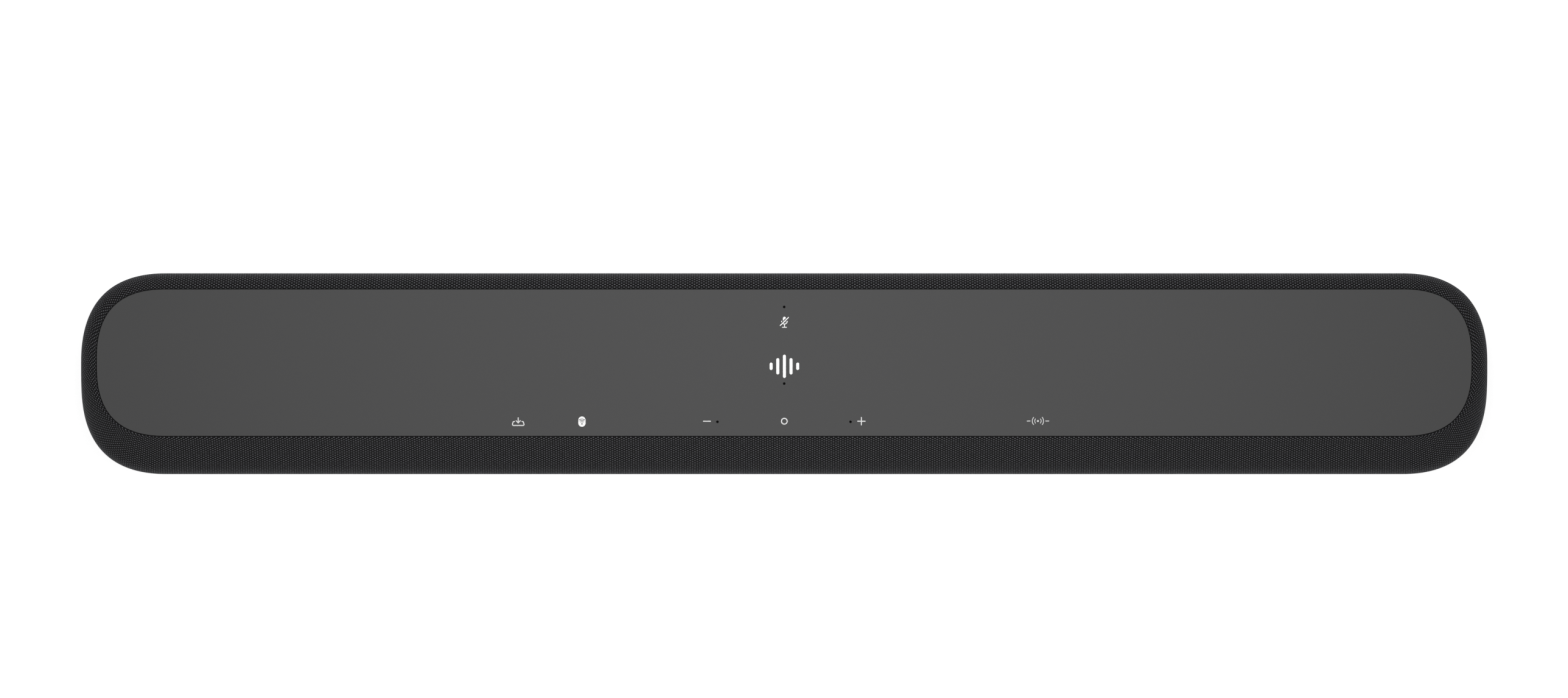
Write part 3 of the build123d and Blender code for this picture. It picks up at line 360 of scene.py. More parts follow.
def flat_shape(name, outline_points, deeper=1.0):
    """A thin slab at the panel's top, from its outline in millimetres."""
    points = [(x * MM, y * MM) for x, y in outline_points]
    return prism(name, points, (0, 0, TOP), RIGHT, BACK, (INK_LOW * deeper, INK_HIGH * deeper))


def circle(x, y, radius, steps=40):
    """Points round a circle, none of them twice."""
    return arc_points(x, y, radius, 0, 360, steps)[:-1]


def stroke(points, width, steps=8):
    """The outline of a pen stroke with round ends along a line of points."""
    half = width / 2
    path = [np.array(p, float) for p in points]

    def side(path):
        """The edge on the right of the path, with mitred bends."""
        edge = []
        for k, point in enumerate(path):
            before = path[k] - path[k - 1] if k else path[1] - path[0]
            after = path[k + 1] - path[k] if k + 1 < len(path) else before
            before, after = before / np.linalg.norm(before), after / np.linalg.norm(after)
            bisector = before + after
            bisector /= np.linalg.norm(bisector)
            normal = np.array((bisector[1], -bisector[0]))
            edge.append(point + normal * half / max(0.5, bisector @ after))
        return edge

    def end(path):
        """The round end past the path's last point."""
        heading = path[-1] - path[-2]
        angle = np.arctan2(heading[1], heading[0])
        turns = angle + np.linspace(-pi / 2, pi / 2, steps + 1)
        return [path[-1] + half * np.array((cos(a), sin(a))) for a in turns]

    right, left = side(path), side(path[::-1])
    return right[:-1] + end(path) + left[1:-1] + end(path[::-1])


def ink_mark(name, solids, holes):
    """One printed mark: the union of some outlines, less some others."""
    mark = flat_shape(name, solids[0])
    for points in solids[1:]:
        boolean(mark, flat_shape(name, points), "UNION")
    for points in holes:
        boolean(mark, flat_shape(name, points, CUT_DEEPER))
    return mark


def mark_shapes():
    """Every printed mark as (name, outlines, outlines cut from them, whiteness)."""
    x, y = CENTRE_MARK
    for number, tall in enumerate(CENTRE_HEIGHTS):
        at = x + CENTRE_PITCH * (number - len(CENTRE_HEIGHTS) // 2)
        bar = stroke([(at, y - tall / 2), (at, y + tall / 2)], CENTRE_PEN)
        yield f"mark_centre_bar_{number}", [bar], [], BRIGHT

    x, y = MICROPHONE_MARK
    capsule = stroke([(x, y + 0.2), (x, y + 1.5)], 1.5)
    cradle = stroke(arc_points(x, y, 1.4, 180, 360), FINE_PEN)
    stem = stroke([(x, y - 1.4), (x, y - 2.8)], FINE_PEN)
    foot = stroke([(x - 1.0, y - 3.0), (x + 1.0, y - 3.0)], FINE_PEN)
    gap = stroke([(x - 2.3, y - 2.1), (x + 2.3, y + 2.4)], 1.05)
    slash = stroke([(x - 2.05, y - 2.1), (x + 2.05, y + 1.9)], 0.45)
    yield "mark_microphone", [capsule, cradle, stem, foot], [gap], BRIGHT
    yield "mark_microphone_slash", [slash], [], BRIGHT

    x, y = SOURCE_MARK
    tray = [(x - 1.9, y + 0.1), (x - 2.5, y - 0.1)] + arc_points(x - 2.3, y - 1.3, 0.6, 180, 270, 6)
    tray += arc_points(x + 2.3, y - 1.3, 0.6, 270, 360, 6) + [(x + 2.5, y - 0.1), (x + 1.9, y + 0.1)]
    shaft = stroke([(x, y + 1.9), (x, y - 0.5)], PEN)
    head = stroke([(x - 1.05, y + 0.45), (x, y - 0.6), (x + 1.05, y + 0.45)], PEN)
    yield "mark_source", [stroke(tray, PEN), shaft, head], [], SOFT

    x, y = WIRELESS_MARK
    pill = stroke([(x, y - 0.75), (x, y + 0.75)], 3.6, 16)
    waves = [stroke(arc_points(x, y - 1.15, radius, 55, 125), 0.32) for radius in (1.05, 1.75, 2.45)]
    yield "mark_wireless", [pill], [circle(x, y - 1.15, 0.34)] + waves, BRIGHT

    x, y = MINUS_MARK
    yield "mark_minus", [stroke([(x - 1.75, y), (x + 1.75, y)], PEN)], [], SOFT

    x, y = PLUS_MARK
    bars = [stroke([(x - 1.85, y), (x + 1.85, y)], PEN), stroke([(x, y - 1.85), (x, y + 1.85)], PEN)]
    yield "mark_plus", bars, [], SOFT

    x, y = RING_MARK
    yield "mark_ring", [circle(x, y, 1.7, 56)], [circle(x, y, 1.15, 56)], SOFT

    x, y = SOUND_MODE_MARK
    around = [circle(x, y, 0.5)]
    for flip in (0, 180):
        around += [stroke(arc_points(x, y, radius, flip - 40, flip + 40), 0.36) for radius in (1.6, 2.8)]
    for number, points in enumerate(around):
        yield f"mark_sound_mode_{number}", [points], [], FAINT
    for number, start in enumerate((-5.4, 3.9)):
        line = stroke([(x + start, y), (x + start + 1.5, y)], FINE_PEN)
        yield f"mark_sound_line_{number}", [line], [], FAINT


def make_mic_meshes():
    """A dark acoustic mesh, slightly domed, over each microphone at the foot of its seal."""
    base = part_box("mic_seals")[0].z + MIC_MESH_LIFT
    turns = [2 * pi * k / MIC_MESH_TURNS for k in range(MIC_MESH_TURNS)]
    mesh = bpy.data.meshes.new("mic_meshes")
    shape = bmesh.new()
    for x, y in MIC_PLACES:
        middle = shape.verts.new((x * MM, y * MM, base + MIC_MESH_DOME))
        rows = []
        for ring in range(1, MIC_MESH_RINGS + 1):
            share = ring / MIC_MESH_RINGS
            r, z = MIC_MESH_RADIUS * share, base + MIC_MESH_DOME * cos(pi / 2 * share)
            rows.append([shape.verts.new((x * MM + r * cos(a), y * MM + r * sin(a), z)) for a in turns])
        for k in range(MIC_MESH_TURNS):
            after = (k + 1) % MIC_MESH_TURNS
            shape.faces.new((middle, rows[0][k], rows[0][after]))
            for inner, outer in zip(rows, rows[1:]):
                shape.faces.new((inner[k], outer[k], outer[after], inner[after]))
    shape.to_mesh(mesh)
    shape.free()
    piece = make_object("mic_meshes", mesh)
    skin = piece.modifiers.new("skin", "SOLIDIFY")
    skin.thickness = MIC_MESH_THICK
    return applied(piece)


# ---------------------------------------------------------------- the drivers' soft parts

TURNS = 128
WOOFER_X = 184.0 * MM
FRONT_DRIVER_X = 288.0 * MM
END_DRIVER_Y = 2.0 * MM
SMALL_DRIVER_Z = 31.0 * MM
SHARP_RING_EDGE = radians(50)


def revolved(name, profile, origin, across, axis):
    """A closed ring turned about an axis from an outline in (radius, height), in millimetres."""
    across, axis = Vector(across), Vector(axis)
    along = axis.cross(across)
    vertices, faces = [], []
    n = len(profile)
    for k in range(TURNS):
        a = 2 * pi * k / TURNS
        spoke = across * cos(a) + along * sin(a)
        vertices += [tuple(Vector(origin) + spoke * r * MM + axis * z * MM) for r, z in profile]
        m = (k + 1) % TURNS
        faces += [(k * n + j, k * n + (j + 1) % n, m * n + (j + 1) % n, m * n + j) for j in range(n)]
    mesh = bpy.data.meshes.new(name)
    mesh.from_pydata(vertices, [], faces)
    shape = bmesh.new()
    shape.from_mesh(mesh)
    bmesh.ops.recalc_face_normals(shape, faces=shape.faces)
    shape.to_mesh(mesh)
    shape.free()
    mesh.polygons.foreach_set("use_smooth", [True] * len(mesh.polygons))
    mesh.update()
    mesh.set_sharp_from_angle(angle=SHARP_RING_EDGE)
    return make_object(name, mesh)


def skin_outline(middle, half):
    """A closed outline at a distance either side of a line of (radius, height) points."""
    line = [np.array(p) for p in middle]
    normals = []
    for k in range(len(line)):
        run = line[min(k + 1, len(line) - 1)] - line[max(k - 1, 0)]
        run = run / np.linalg.norm(run)
        normals.append(np.array((-run[1], run[0])))
    upper = [tuple(p + n * half) for p, n in zip(line, normals)]
    lower = [tuple(p - n * half) for p, n in zip(line, normals)]
    return upper + lower[::-1]


def woofer_surround_line():
    """A half roll between the flat rims on the basket and on the cone, in (radius, height) from the seat."""
    r, z, radius = 34.0, 1.9, 3.4
    rim_z, cone_z = 0.4, 3.9
    start, stop = degrees(asin((rim_z - z) / radius)), 180 - degrees(asin((cone_z - z) / radius))
    roll = arc_points(r, z, radius, start, stop, 25)
    rim = [(41.05, rim_z), (39.6, rim_z), (38.2, rim_z)]
    return rim + roll[1:-1] + [(30.4, cone_z), (29.4, cone_z), (28.45, cone_z)]


def woofer_spider_line():
    """Five ripples between the voice coil and the basket's shelf."""
    first, last, pitch, depth = 15.0, 25.8, 2.16, 0.3
    radii = np.linspace(first, last, 61)
    ripples = [(r, 18.85 - depth * cos(2 * pi * (r - first) / pitch)) for r in radii]
    return [(13.15, 18.95), (14.2, 18.9)] + ripples + [(26.6, 18.75), (27.4, 18.93), (28.15, 18.95)]


def small_surround_line():
    """A half roll that bulges to the front, with flat rims on the frame and the cone."""
    r, z, radius = 15.1, 0.27, 1.42
    rim_z = 0.26
    roll = [(x, 2 * z - y) for x, y in arc_points(r, z, radius, 4, 176, 23)]
    return [(19.15, rim_z), (18.0, rim_z), (17.0, rim_z)] + roll + [(13.3, rim_z), (12.65, rim_z)]


def small_spider_line():
    """Ripples that climb from the voice coil to the frame."""
    crest, pitch, depth = 10.0, 2.0, 0.2
    radii = np.linspace(9.3, 12.6, 28)
    ripples = [(r, 8.78 + depth * cos(2 * pi * (r - crest) / pitch)) for r in radii]
    return [(8.5, 8.62), (9.0, 8.66)] + ripples + [(13.0, 8.88), (13.3, 8.92)]


# Each ring's ending of name, middle line, half thickness, the radii where it moves wholly with the cone
# and wholly with the bar, and slot. All sizes are in millimetres.
WOOFER_RINGS = (("roll", woofer_surround_line, 0.35, 30.6, 37.6, "surround_rubber"),
                ("damper", woofer_spider_line, 0.2, 14.4, 26.2, "spider_cloth"))
SMALL_RINGS = (("roll", small_surround_line, 0.2, 13.8, 16.5, "surround_rubber"),
               ("damper", small_spider_line, 0.13, 9.0, 12.8, "spider_cloth"))


def ride_between(piece):
    """Bakes a soft ring's placement into its mesh."""
    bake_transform(piece)


def make_rings(driver, rings, nodes, origin, across, axis):
    """A driver's soft rings, as (piece, node replaced, slot)."""
    made = []
    for (ending, line, half, inner, outer, slot), node in zip(rings, nodes):
        piece = revolved(f"{driver}_{ending}", skin_outline(line(), half), origin, across, axis)
        ride_between(piece)
        made.append((piece, node, slot))
    return made


def make_soft_parts():
    """The surrounds and spiders of all six drivers, as (piece, node replaced, slot)."""
    pieces = []
    for side, sign in (("left", -1), ("right", 1)):
        woofer, front, end = f"woofer_{side}", f"front_driver_{side}", f"side_driver_{side}"
        woofer_at = (sign * WOOFER_X, 0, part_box("woofer_left_surround")[0].z)
        front_at = (sign * FRONT_DRIVER_X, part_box(f"{front}_frame")[0].y, SMALL_DRIVER_Z)
        end_at = (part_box(f"{end}_frame")[1 if sign > 0 else 0].x, END_DRIVER_Y, SMALL_DRIVER_Z)
        pieces += make_rings(woofer, WOOFER_RINGS, (f"{woofer}_surround", f"{woofer}_spider"),
                             woofer_at, RIGHT, UP)
        pieces += make_rings(front, SMALL_RINGS, (f"{front}_suspension",) * 2, front_at, RIGHT, BACK)
        pieces += make_rings(end, SMALL_RINGS, (f"{end}_suspension",) * 2, end_at, BACK, (-sign, 0, 0))
    return pieces


# ---------------------------------------------------------------- materials

# painted shade: the near-black between the floats stands in for shade in the hollows between the yarns
GAP_SHADE_COLOUR = (0.0015, 0.0015, 0.0016)
WARP_COLOUR = (0.0075, 0.0075, 0.008)
# painted highlight: the weft floats' pale colour stands in for light on the raised crossings of the weave
WEFT_HIGHLIGHT_COLOUR = (0.105, 0.106, 0.113)
WEFT_FLOAT, WARP_FLOAT = (0.225, 0.47), (0.24, 0.62)  # half sizes of the floats, as shares of their cells
PANEL_COLOUR = (0.0575, 0.0575, 0.0579)
MESH_PITCH = 0.12 * MM
PLASTIC_MOTTLE, METAL_MOTTLE = 0.12, 0.15  # how far a colour strays, as a share of itself


def nodes_of(name):
    """A new material, its node tree and its shader."""
    material = bpy.data.materials.new(name)
    material.use_nodes = True
    tree = material.node_tree
    return material, tree, tree.nodes["Principled BSDF"]


def add(tree, kind, **settings):
    """A new node, with its settings."""
    node = tree.nodes.new(kind)
    for key, value in settings.items():
        setattr(node, key, value)
    return node


def maths(tree, operation, *inputs, clamp=False):
    """One sum on numbers and sockets."""
    node = add(tree, "ShaderNodeMath", operation=operation, use_clamp=clamp)
    for socket, value in zip(node.inputs, inputs):
        if isinstance(value, (int, float)):
            socket.default_value = value
        else:
            tree.links.new(value, socket)
    return node.outputs[0]


def noise(tree, vector, scale, detail=3.0, roughness=0.5):
    """Cloudy noise from 0 to 1; scale is its lumps to the metre."""
    node = add(tree, "ShaderNodeTexNoise")
    node.inputs["Scale"].default_value = scale
    node.inputs["Detail"].default_value = detail
    node.inputs["Roughness"].default_value = roughness
    tree.links.new(vector, node.inputs["Vector"])
    return node.outputs["Fac"]


def mix(tree, share, a, b):
    """A colour between a and b, each a colour or a socket."""
    node = add(tree, "ShaderNodeMix", data_type="RGBA")
    for socket, value in ((node.inputs[0], share), (node.inputs[6], a), (node.inputs[7], b)):
        if isinstance(value, bpy.types.NodeSocket):
            tree.links.new(value, socket)
        elif isinstance(value, (int, float)):
            socket.default_value = value
        else:
            socket.default_value = (*value, 1.0)
    return node.outputs[2]


def span(tree, value, low, high, to_low=0.0, to_high=1.0):
    """A value spread from one range over another, and held at its ends."""
    node = add(tree, "ShaderNodeMapRange")
    tree.links.new(value, node.inputs[0])
    for socket, number in zip(list(node.inputs)[1:5], (low, high, to_low, to_high)):
        socket.default_value = number
    return node.outputs[0]


def bump(tree, shader, height, distance, strength):
    """Raises the shader's surface by a height; distance is what a height of 1 stands for, in metres."""
    node = add(tree, "ShaderNodeBump")
    node.inputs["Strength"].default_value = strength
    node.inputs["Distance"].default_value = distance
    tree.links.new(height, node.inputs["Height"])
    tree.links.new(node.outputs["Normal"], shader.inputs["Normal"])


def place(tree):
    """A piece's own coordinates, in metres."""
    return add(tree, "ShaderNodeTexCoord").outputs["Object"]


def scaled(tree, vector, scale):
    """Coordinates multiplied along each axis."""
    node = add(tree, "ShaderNodeMapping")
    node.inputs["Scale"].default_value = scale
    tree.links.new(vector, node.inputs["Vector"])
    return node.outputs[0]


def float_dome(tree, u_cell, v_cell, half_u, half_v):
    """One yarn's float: 1 in the middle of the cell and 0 outside an ellipse, with the cell's middle at 0."""
    across = maths(tree, "POWER", maths(tree, "ABSOLUTE", maths(tree, "DIVIDE", u_cell, half_u)), 2.0)
    down = maths(tree, "POWER", maths(tree, "ABSOLUTE", maths(tree, "DIVIDE", v_cell, half_v)), 2.0)
    return maths(tree, "SUBTRACT", 1.0, maths(tree, "ADD", across, down), clamp=True)


def cloth_material():
    """Plain weave: weft floats in a checkerboard between black warp floats, with uneven yarns. The weft
    floats' pale colour is painted highlight on the raised crossings, each warp float is painted darker
    towards its edges as shade on its roundness, and the near-black between the floats is painted shade.
    """
    material, tree, shader = nodes_of("Cloth weave")
    uv = add(tree, "ShaderNodeUVMap", uv_map="Weave").outputs[0]
    split = add(tree, "ShaderNodeSeparateXYZ")
    tree.links.new(uv, split.inputs[0])
    drift_u = span(tree, noise(tree, uv, 60.0), 0.0, 1.0, -0.25 * MM, 0.25 * MM)
    drift_v = span(tree, noise(tree, uv, 75.0), 0.0, 1.0, -0.175 * MM, 0.175 * MM)
    u = maths(tree, "DIVIDE", maths(tree, "ADD", split.outputs[0], drift_u), 2 * COLUMN)
    v = maths(tree, "DIVIDE", maths(tree, "ADD", split.outputs[1], drift_v), ROW)
    parity = maths(tree, "MULTIPLY", maths(tree, "FLOORED_MODULO", maths(tree, "FLOOR", v), 2.0), 0.5)
    shifted = maths(tree, "ADD", u, parity)
    down = maths(tree, "SUBTRACT", maths(tree, "FRACT", v), 0.5)
    weft_at = maths(tree, "SUBTRACT", maths(tree, "FRACT", shifted), 0.5)
    warp_at = maths(tree, "SUBTRACT", maths(tree, "FRACT", maths(tree, "ADD", shifted, 0.5)), 0.5)
    weft = float_dome(tree, weft_at, down, *WEFT_FLOAT)
    warp = float_dome(tree, warp_at, down, *WARP_FLOAT)
    yarn = noise(tree, scaled(tree, uv, (420.0, 1400.0, 1.0)), 1.0)
    fibre = noise(tree, scaled(tree, uv, (5000.0, 26000.0, 1.0)), 1.0, 2.0)
    fibres = span(tree, fibre, 0.25, 0.75, 0.72, 1.2)
    tone = maths(tree, "MULTIPLY", span(tree, yarn, 0.3, 0.7, 0.62, 1.25), fibres)
    # Painted highlight: the weft floats take the pale colour, soft at their edges and varied by the yarns'
    # random tone.
    pale = maths(tree, "MULTIPLY", span(tree, weft, 0.0, 0.55), tone, clamp=True)
    # Painted shade: each warp float darkens from its crown towards its edges along its dome, down to the
    # painted shade of the gaps; the fibre noise varies it at random.
    dark = maths(tree, "MULTIPLY", maths(tree, "SQRT", warp), fibres)
    ground = mix(tree, dark, GAP_SHADE_COLOUR, WARP_COLOUR)
    tree.links.new(mix(tree, pale, ground, WEFT_HIGHLIGHT_COLOUR), shader.inputs["Base Color"])
    shader.inputs["Roughness"].default_value = 0.9
    shader.inputs["Specular IOR Level"].default_value = 0.15
    shader.inputs["Sheen Weight"].default_value = 0.05
    shader.inputs["Sheen Roughness"].default_value = 0.4
    shader.inputs["Sheen Tint"].default_value = (0.85, 0.87, 1.0, 1.0)
    low_domes = maths(tree, "MULTIPLY", maths(tree, "SQRT", warp), 0.8)
    domes = maths(tree, "MAXIMUM", maths(tree, "SQRT", weft), low_domes)
    height = maths(tree, "ADD", domes, maths(tree, "MULTIPLY", fibre, 0.12))
    bump(tree, shader, height, 0.14 * MM, 0.6)
    return material


def panel_material():
    """Fine-textured matt plastic, even all over."""
    material, tree, shader = nodes_of("Panel")
    at = place(tree)
    broad = noise(tree, at, 5.0, 2.0)
    darker, lighter = [tuple(c * k for c in PANEL_COLOUR) for k in (0.985, 1.015)]
    tree.links.new(mix(tree, span(tree, broad, 0.3, 0.7), darker, lighter), shader.inputs["Base Color"])
    grain = noise(tree, at, 9000.0)
    tree.links.new(span(tree, grain, 0.3, 0.7, 0.6, 0.7), shader.inputs["Roughness"])
    shader.inputs["Specular IOR Level"].default_value = 0.25
    bump(tree, shader, grain, 0.008 * MM, 0.5)
    return material


def mesh_material():
    """Black acoustic mesh, woven fine."""
    material, tree, shader = nodes_of("Microphone mesh")
    at = scaled(tree, place(tree), (pi / MESH_PITCH,) * 3)
    split = add(tree, "ShaderNodeSeparateXYZ")
    tree.links.new(at, split.inputs[0])
    across = maths(tree, "ABSOLUTE", maths(tree, "SINE", split.outputs[0]))
    along = maths(tree, "ABSOLUTE", maths(tree, "SINE", split.outputs[1]))
    height = maths(tree, "MAXIMUM", across, along)
    tree.links.new(mix(tree, height, (0.0005,) * 3, (0.003,) * 3), shader.inputs["Base Color"])
    shader.inputs["Roughness"].default_value = 0.8
    shader.inputs["Specular IOR Level"].default_value = 0.1
    bump(tree, shader, height, 0.03 * MM, 0.6)
    return material


def plastic(name, colour, rough, grain, depth, specular=0.5):
    """Moulded plastic with a spark-eroded texture: grain is the texture's pitch and depth its height."""
    material, tree, shader = nodes_of(name)
    at = place(tree)
    patch = noise(tree, at, 14.0, 4.0)
    lighter = tuple(c * (1 + PLASTIC_MOTTLE) for c in colour)
    darker = tuple(c * (1 - PLASTIC_MOTTLE) for c in colour)
    tree.links.new(mix(tree, span(tree, patch, 0.3, 0.7), darker, lighter), shader.inputs["Base Color"])
    fine = noise(tree, at, 1.0 / grain, 2.0)
    wear = noise(tree, at, 40.0)
    tree.links.new(span(tree, wear, 0.3, 0.7, rough - 0.04, rough + 0.04), shader.inputs["Roughness"])
    shader.inputs["Specular IOR Level"].default_value = specular
    bump(tree, shader, fine, depth, 0.6)
    return material


def metal(name, colour, rough, stretch):
    """Drawn, turned or plated metal, with fine scratches along one axis."""
    material, tree, shader = nodes_of(name)
    at = place(tree)
    lines = noise(tree, scaled(tree, at, stretch), 1.0)
    darker = tuple(c * (1 - METAL_MOTTLE) for c in colour)
    tree.links.new(mix(tree, lines, darker, colour), shader.inputs["Base Color"])
    tree.links.new(span(tree, lines, 0.3, 0.7, rough - 0.06, rough + 0.1), shader.inputs["Roughness"])
    shader.inputs["Metallic"].default_value = 1.0
    bump(tree, shader, lines, 0.02 * MM, 0.3)
    return material


def board_material():
    """Green solder mask with tracks and tinned pads; whatever stands up from the board is black."""
    material, tree, shader = nodes_of("Circuit board")
    at = place(tree)
    tracks = add(tree, "ShaderNodeTexBrick")
    tracks.inputs["Scale"].default_value = 90.0
    tracks.inputs["Mortar Size"].default_value = 0.03
    tracks.inputs["Color1"].default_value = (0.010, 0.085, 0.036, 1)
    tracks.inputs["Color2"].default_value = (0.014, 0.105, 0.045, 1)
    tracks.inputs["Mortar"].default_value = (0.035, 0.19, 0.09, 1)
    tree.links.new(at, tracks.inputs["Vector"])
    pads = add(tree, "ShaderNodeTexVoronoi")
    pads.inputs["Scale"].default_value = 260.0
    tree.links.new(at, pads.inputs["Vector"])
    dot = maths(tree, "LESS_THAN", pads.outputs["Distance"], 0.16)
    green = mix(tree, dot, tracks.outputs["Color"], (0.62, 0.6, 0.55))
    split = add(tree, "ShaderNodeSeparateXYZ")
    tree.links.new(at, split.inputs[0])
    board_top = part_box("hdmi_socket")[0].z
    above = maths(tree, "GREATER_THAN", split.outputs[2], board_top + 0.1 * MM)
    touch_board_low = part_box("touch_board")[1].z - 3 * MM
    below_touch = maths(tree, "LESS_THAN", split.outputs[2], touch_board_low)
    part = maths(tree, "MULTIPLY", above, below_touch)
    tree.links.new(mix(tree, part, green, (0.018, 0.018, 0.02)), shader.inputs["Base Color"])
    shader.inputs["Roughness"].default_value = 0.35
    bump(tree, shader, noise(tree, at, 1800.0, 2.0), 0.03 * MM, 0.4)
    return material


def rubber(name, colour, ribs=0.0):
    """Dull rubber or foam, with ribs of the given pitch across X, if any."""
    material, tree, shader = nodes_of(name)
    at = place(tree)
    patch = noise(tree, at, 60.0, 4.0)
    tree.links.new(mix(tree, patch, colour, tuple(c * 1.5 for c in colour)), shader.inputs["Base Color"])
    shader.inputs["Roughness"].default_value = 0.7
    shader.inputs["Specular IOR Level"].default_value = 0.3
    fine = noise(tree, at, 2600.0, 2.0)
    if ribs:
        split = add(tree, "ShaderNodeSeparateXYZ")
        tree.links.new(at, split.inputs[0])
        wave = maths(tree, "SINE", maths(tree, "MULTIPLY", split.outputs[0], 2 * pi / ribs))
        fine = maths(tree, "ADD", maths(tree, "MULTIPLY", fine, 0.3), wave)
    bump(tree, shader, fine, 0.06 * MM, 0.6)
    return material


def woven(name, dark, light, pitch):
    """A coarse plain weave on the object's own coordinates, for the spiders."""
    material, tree, shader = nodes_of(name)
    at = scaled(tree, place(tree), (pi / pitch,) * 3)
    split = add(tree, "ShaderNodeSeparateXYZ")
    tree.links.new(at, split.inputs[0])
    across = maths(tree, "ABSOLUTE", maths(tree, "SINE", split.outputs[0]))
    along = maths(tree, "ABSOLUTE", maths(tree, "SINE", split.outputs[1]))
    height = maths(tree, "MULTIPLY", across, along)
    tree.links.new(mix(tree, height, dark, light), shader.inputs["Base Color"])
    shader.inputs["Roughness"].default_value = 0.8
    bump(tree, shader, height, 0.1 * MM, 0.8)
    return material


def paper(name, colour):
    """Coated paper pulp, for the cones."""
    material, tree, shader = nodes_of(name)
    at = place(tree)
    fibres = noise(tree, at, 700.0, 5.0, 0.65)
    tree.links.new(mix(tree, fibres, colour, tuple(c * 2.0 for c in colour)), shader.inputs["Base Color"])
    shader.inputs["Roughness"].default_value = 0.55
    bump(tree, shader, fibres, 0.12 * MM, 0.7)
    return material


def ink(white):
    """Pad-printed ink with a fine speckle; white is how bright it is."""
    material, tree, shader = nodes_of("Printed ink")
    at = place(tree)
    speckle = noise(tree, at, 5000.0, 2.0)
    thin, full = (0.78 * white,) * 3, (0.9 * white,) * 3
    tree.links.new(mix(tree, span(tree, speckle, 0.35, 0.65), thin, full), shader.inputs["Base Color"])
    shader.inputs["Roughness"].default_value = 0.5
    bump(tree, shader, speckle, 0.005 * MM, 0.4)
    return material


def all_materials():
    """A material for each of the record's slots."""
    black = (0.012, 0.012, 0.013)
    return {
        "cloth": cloth_material(),
        "panel": panel_material(),
        "housing": plastic("Housing", (0.006, 0.006, 0.0062), 0.7, 0.3 * MM, 0.02 * MM, 0.15),
        "cover": plastic("Base cover", (0.016, 0.016, 0.0165), 0.5, 0.35 * MM, 0.035 * MM),
        "foot_rubber": rubber("Foot rubber", (0.012, 0.012, 0.012), 1.5 * MM),
        "black_screw": metal("Black screws", (0.05, 0.05, 0.052), 0.4, (900, 900, 200)),
        "brass": metal("Brass", (0.78, 0.56, 0.25), 0.3, (200, 200, 6000)),
        "grille_steel": plastic("Grille coat", (0.02, 0.02, 0.021), 0.42, 0.25 * MM, 0.03 * MM),
        "circuit_board": board_material(),
        "can_metal": metal("Nickel", (0.62, 0.61, 0.58), 0.28, (4000, 300, 300)),
        "foam": rubber("Foam", (0.02, 0.02, 0.02)),
        "light_guide": plastic("Light guide", (0.7, 0.7, 0.7), 0.4, 0.5 * MM, 0.02 * MM),
        "bay_plastic": plastic("Bay", (0.014, 0.014, 0.0145), 0.45, 0.3 * MM, 0.03 * MM),
        "inlet_plastic": plastic("Inlet", (0.01, 0.01, 0.01), 0.25, 0.8 * MM, 0.01 * MM),
        "heatsink_aluminium": metal("Heatsink", (0.78, 0.78, 0.8), 0.35, (200, 5000, 200)),
        "transformer_core": plastic("Ferrite", (0.04, 0.04, 0.043), 0.6, 0.4 * MM, 0.05 * MM),
        "zinc_screw": metal("Zinc", (0.66, 0.67, 0.68), 0.3, (1500, 1500, 1500)),
        "wire_jacket": rubber("Wire jacket", (0.02, 0.02, 0.022)),
        "enclosure_plastic": plastic("Enclosure", black, 0.55, 0.3 * MM, 0.02 * MM),
        "basket_plastic": plastic("Basket", (0.02, 0.02, 0.021), 0.5, 0.4 * MM, 0.04 * MM),
        "motor_steel": metal("Motor steel", (0.5, 0.5, 0.51), 0.35, (1200, 1200, 1200)),
        "surround_rubber": rubber("Surround rubber", (0.01, 0.01, 0.01)),
        "spider_cloth": woven("Spider cloth", (0.30, 0.17, 0.05), (0.62, 0.42, 0.16), 0.8 * MM),
        "woofer_cone": paper("Woofer cone", (0.012, 0.012, 0.013)),
        "copper_coil": metal("Copper coil", (0.72, 0.33, 0.16), 0.35, (150, 150, 9000)),
        "frame_steel": plastic("Driver frame", (0.015, 0.015, 0.015), 0.4, 0.3 * MM, 0.02 * MM),
        "mid_cone": paper("Small cone", (0.014, 0.014, 0.015)),
    }


materials = all_materials()
slot_of = {row["node"]: row["material_slot"] for row in frame["record"]["subparts"]}
SHARP_EDGE = radians(32)


def dress(piece, slot):
    """Gives a piece its slot's material, and that material alone."""
    piece.data.materials.clear()
    piece.data.materials.append(materials[slot])


for node, piece in frame["nodes"].items():
    dress(piece, slot_of[node])
    piece.data.set_sharp_from_angle(angle=SHARP_EDGE)

cloth = make_cloth()
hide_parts("fabric_wrap")
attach(cloth, ROOT)
dress(cloth, "cloth")

inks = {white: ink(white) for white in (BRIGHT, SOFT, FAINT)}
for name, solids, holes, white in mark_shapes():
    mark = ink_mark(name, solids, holes)
    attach(mark, ROOT)
    mark.data.materials.append(inks[white])

mic_meshes = make_mic_meshes()
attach(mic_meshes, ROOT)
mic_meshes.data.materials.append(mesh_material())

for piece, node, slot in make_soft_parts():
    dress(piece, slot)
    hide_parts(node)

# ---------------------------------------------------------------- stage, lights and camera

FLOOR_HALF = 30.0
FLOOR_GAP = 0.1 * MM  # the floor lies this far under the feet
FLOOR_GREY = 0.5
FLOOR_GLOW = 0.92  # brings the floor to the photograph's white
WORLD_LIGHT = 0.12  # what the world gives the object; the camera sees it white

VIEW_WIDTH = 0.7799  # what the picture spans at the height of the panel
VIEW_CENTRE = (-0.0001, 0.0123)
VIEW_HEIGHT = 14.0
SENSOR = 36.0
FAR_CLIP = 100.0


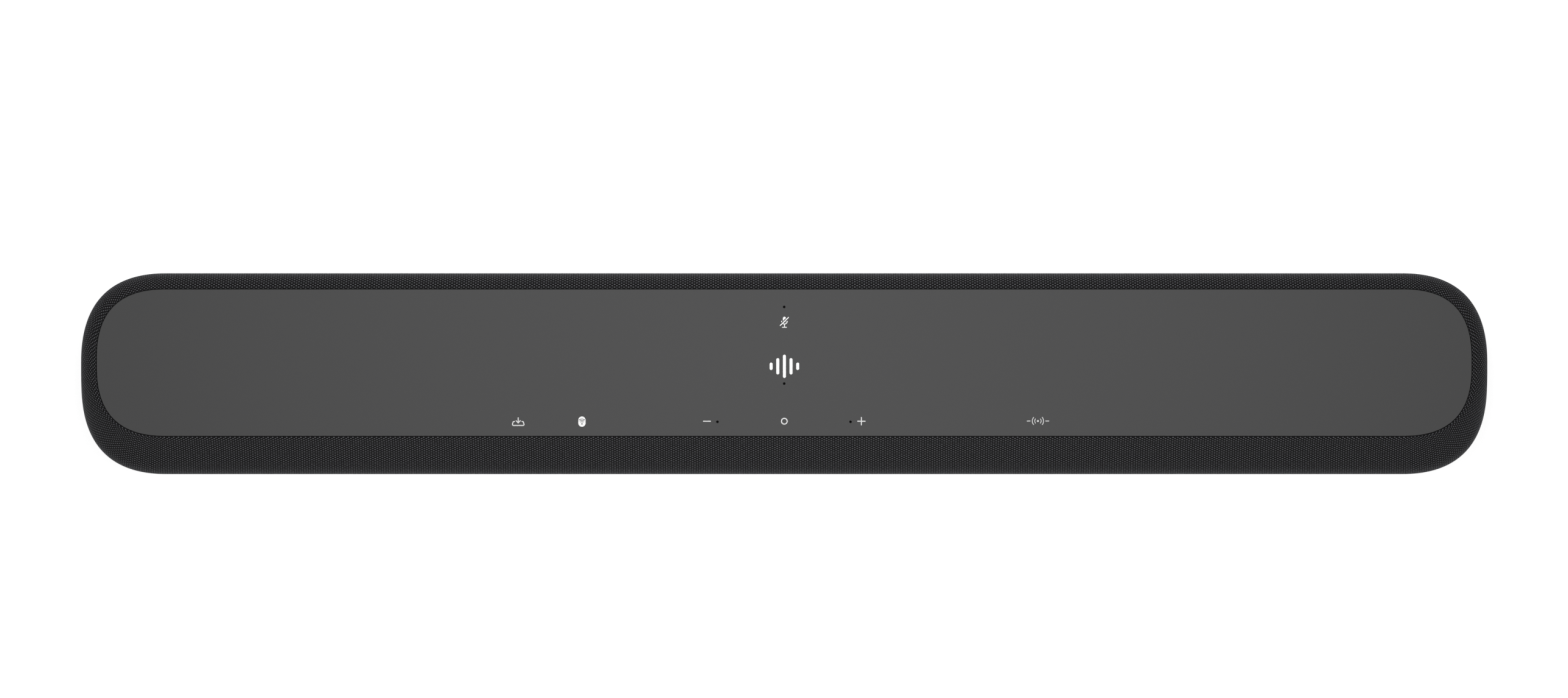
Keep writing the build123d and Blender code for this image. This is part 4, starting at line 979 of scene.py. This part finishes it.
def make_floor():
    """A wide pale floor that glows a little, so that it comes out white."""
    mesh = bpy.data.meshes.new("floor")
    corners = [(x * FLOOR_HALF, y * FLOOR_HALF, 0) for x, y in ((-1, -1), (1, -1), (1, 1), (-1, 1))]
    mesh.from_pydata(corners, [], [(0, 1, 2, 3)])
    floor = make_object("floor", mesh)
    floor.location.z = cad_low.z - FLOOR_GAP
    material, _, shader = nodes_of("Floor")
    shader.inputs["Base Color"].default_value = (FLOOR_GREY, FLOOR_GREY, FLOOR_GREY, 1)
    shader.inputs["Roughness"].default_value = 0.9
    shader.inputs["Emission Color"].default_value = (1, 1, 1, 1)
    shader.inputs["Emission Strength"].default_value = FLOOR_GLOW
    floor.data.materials.append(material)


def make_world():
    """Plain white: full to the camera, faint as a light."""
    world = bpy.data.worlds.new("world")
    world.use_nodes = True
    tree = world.node_tree
    background = tree.nodes["Background"]
    background.inputs["Color"].default_value = (1, 1, 1, 1)
    seen = add(tree, "ShaderNodeLightPath").outputs["Is Camera Ray"]
    tree.links.new(span(tree, seen, 0.0, 1.0, WORLD_LIGHT, 1.0), background.inputs["Strength"])
    bpy.context.scene.world = world


def area_light(name, centre, target, size, power):
    """A soft white light at centre that faces target, and that the camera doesn't see."""
    data = bpy.data.lights.new(name, "AREA")
    data.shape = "RECTANGLE"
    data.size, data.size_y = size
    data.energy = power
    light = bpy.data.objects.new(name, data)
    light.location = centre
    light.rotation_euler = (Vector(target) - Vector(centre)).to_track_quat("-Z", "Y").to_euler()
    light.visible_camera = False
    bpy.context.scene.collection.objects.link(light)


def make_camera():
    """Looks straight down from far away with a long lens."""
    data = bpy.data.cameras.new("camera")
    data.sensor_width = SENSOR
    data.lens = SENSOR * VIEW_HEIGHT / VIEW_WIDTH
    data.clip_end = FAR_CLIP
    camera = bpy.data.objects.new("camera", data)
    camera.location = (*VIEW_CENTRE, TOP + VIEW_HEIGHT)
    bpy.context.scene.collection.objects.link(camera)
    bpy.context.scene.camera = camera


make_floor()
make_world()
area_light("overhead", (0.0, 0.11, 0.90), (0.0, 0.0, TOP), (0.6, 0.4), 7.6)
area_light("front", (0.0, -0.9, 0.10), (0.0, 0.0, 0.03), (1.6, 0.15), 0.8)
for end in (-1, 1):
    area_light("end", (end * 1.0, 0.0, 0.15), (end * 0.35, 0.0, 0.04), (0.3, 0.15), 0.5)
make_camera()
bpy.context.scene.view_settings.view_transform = "Standard"
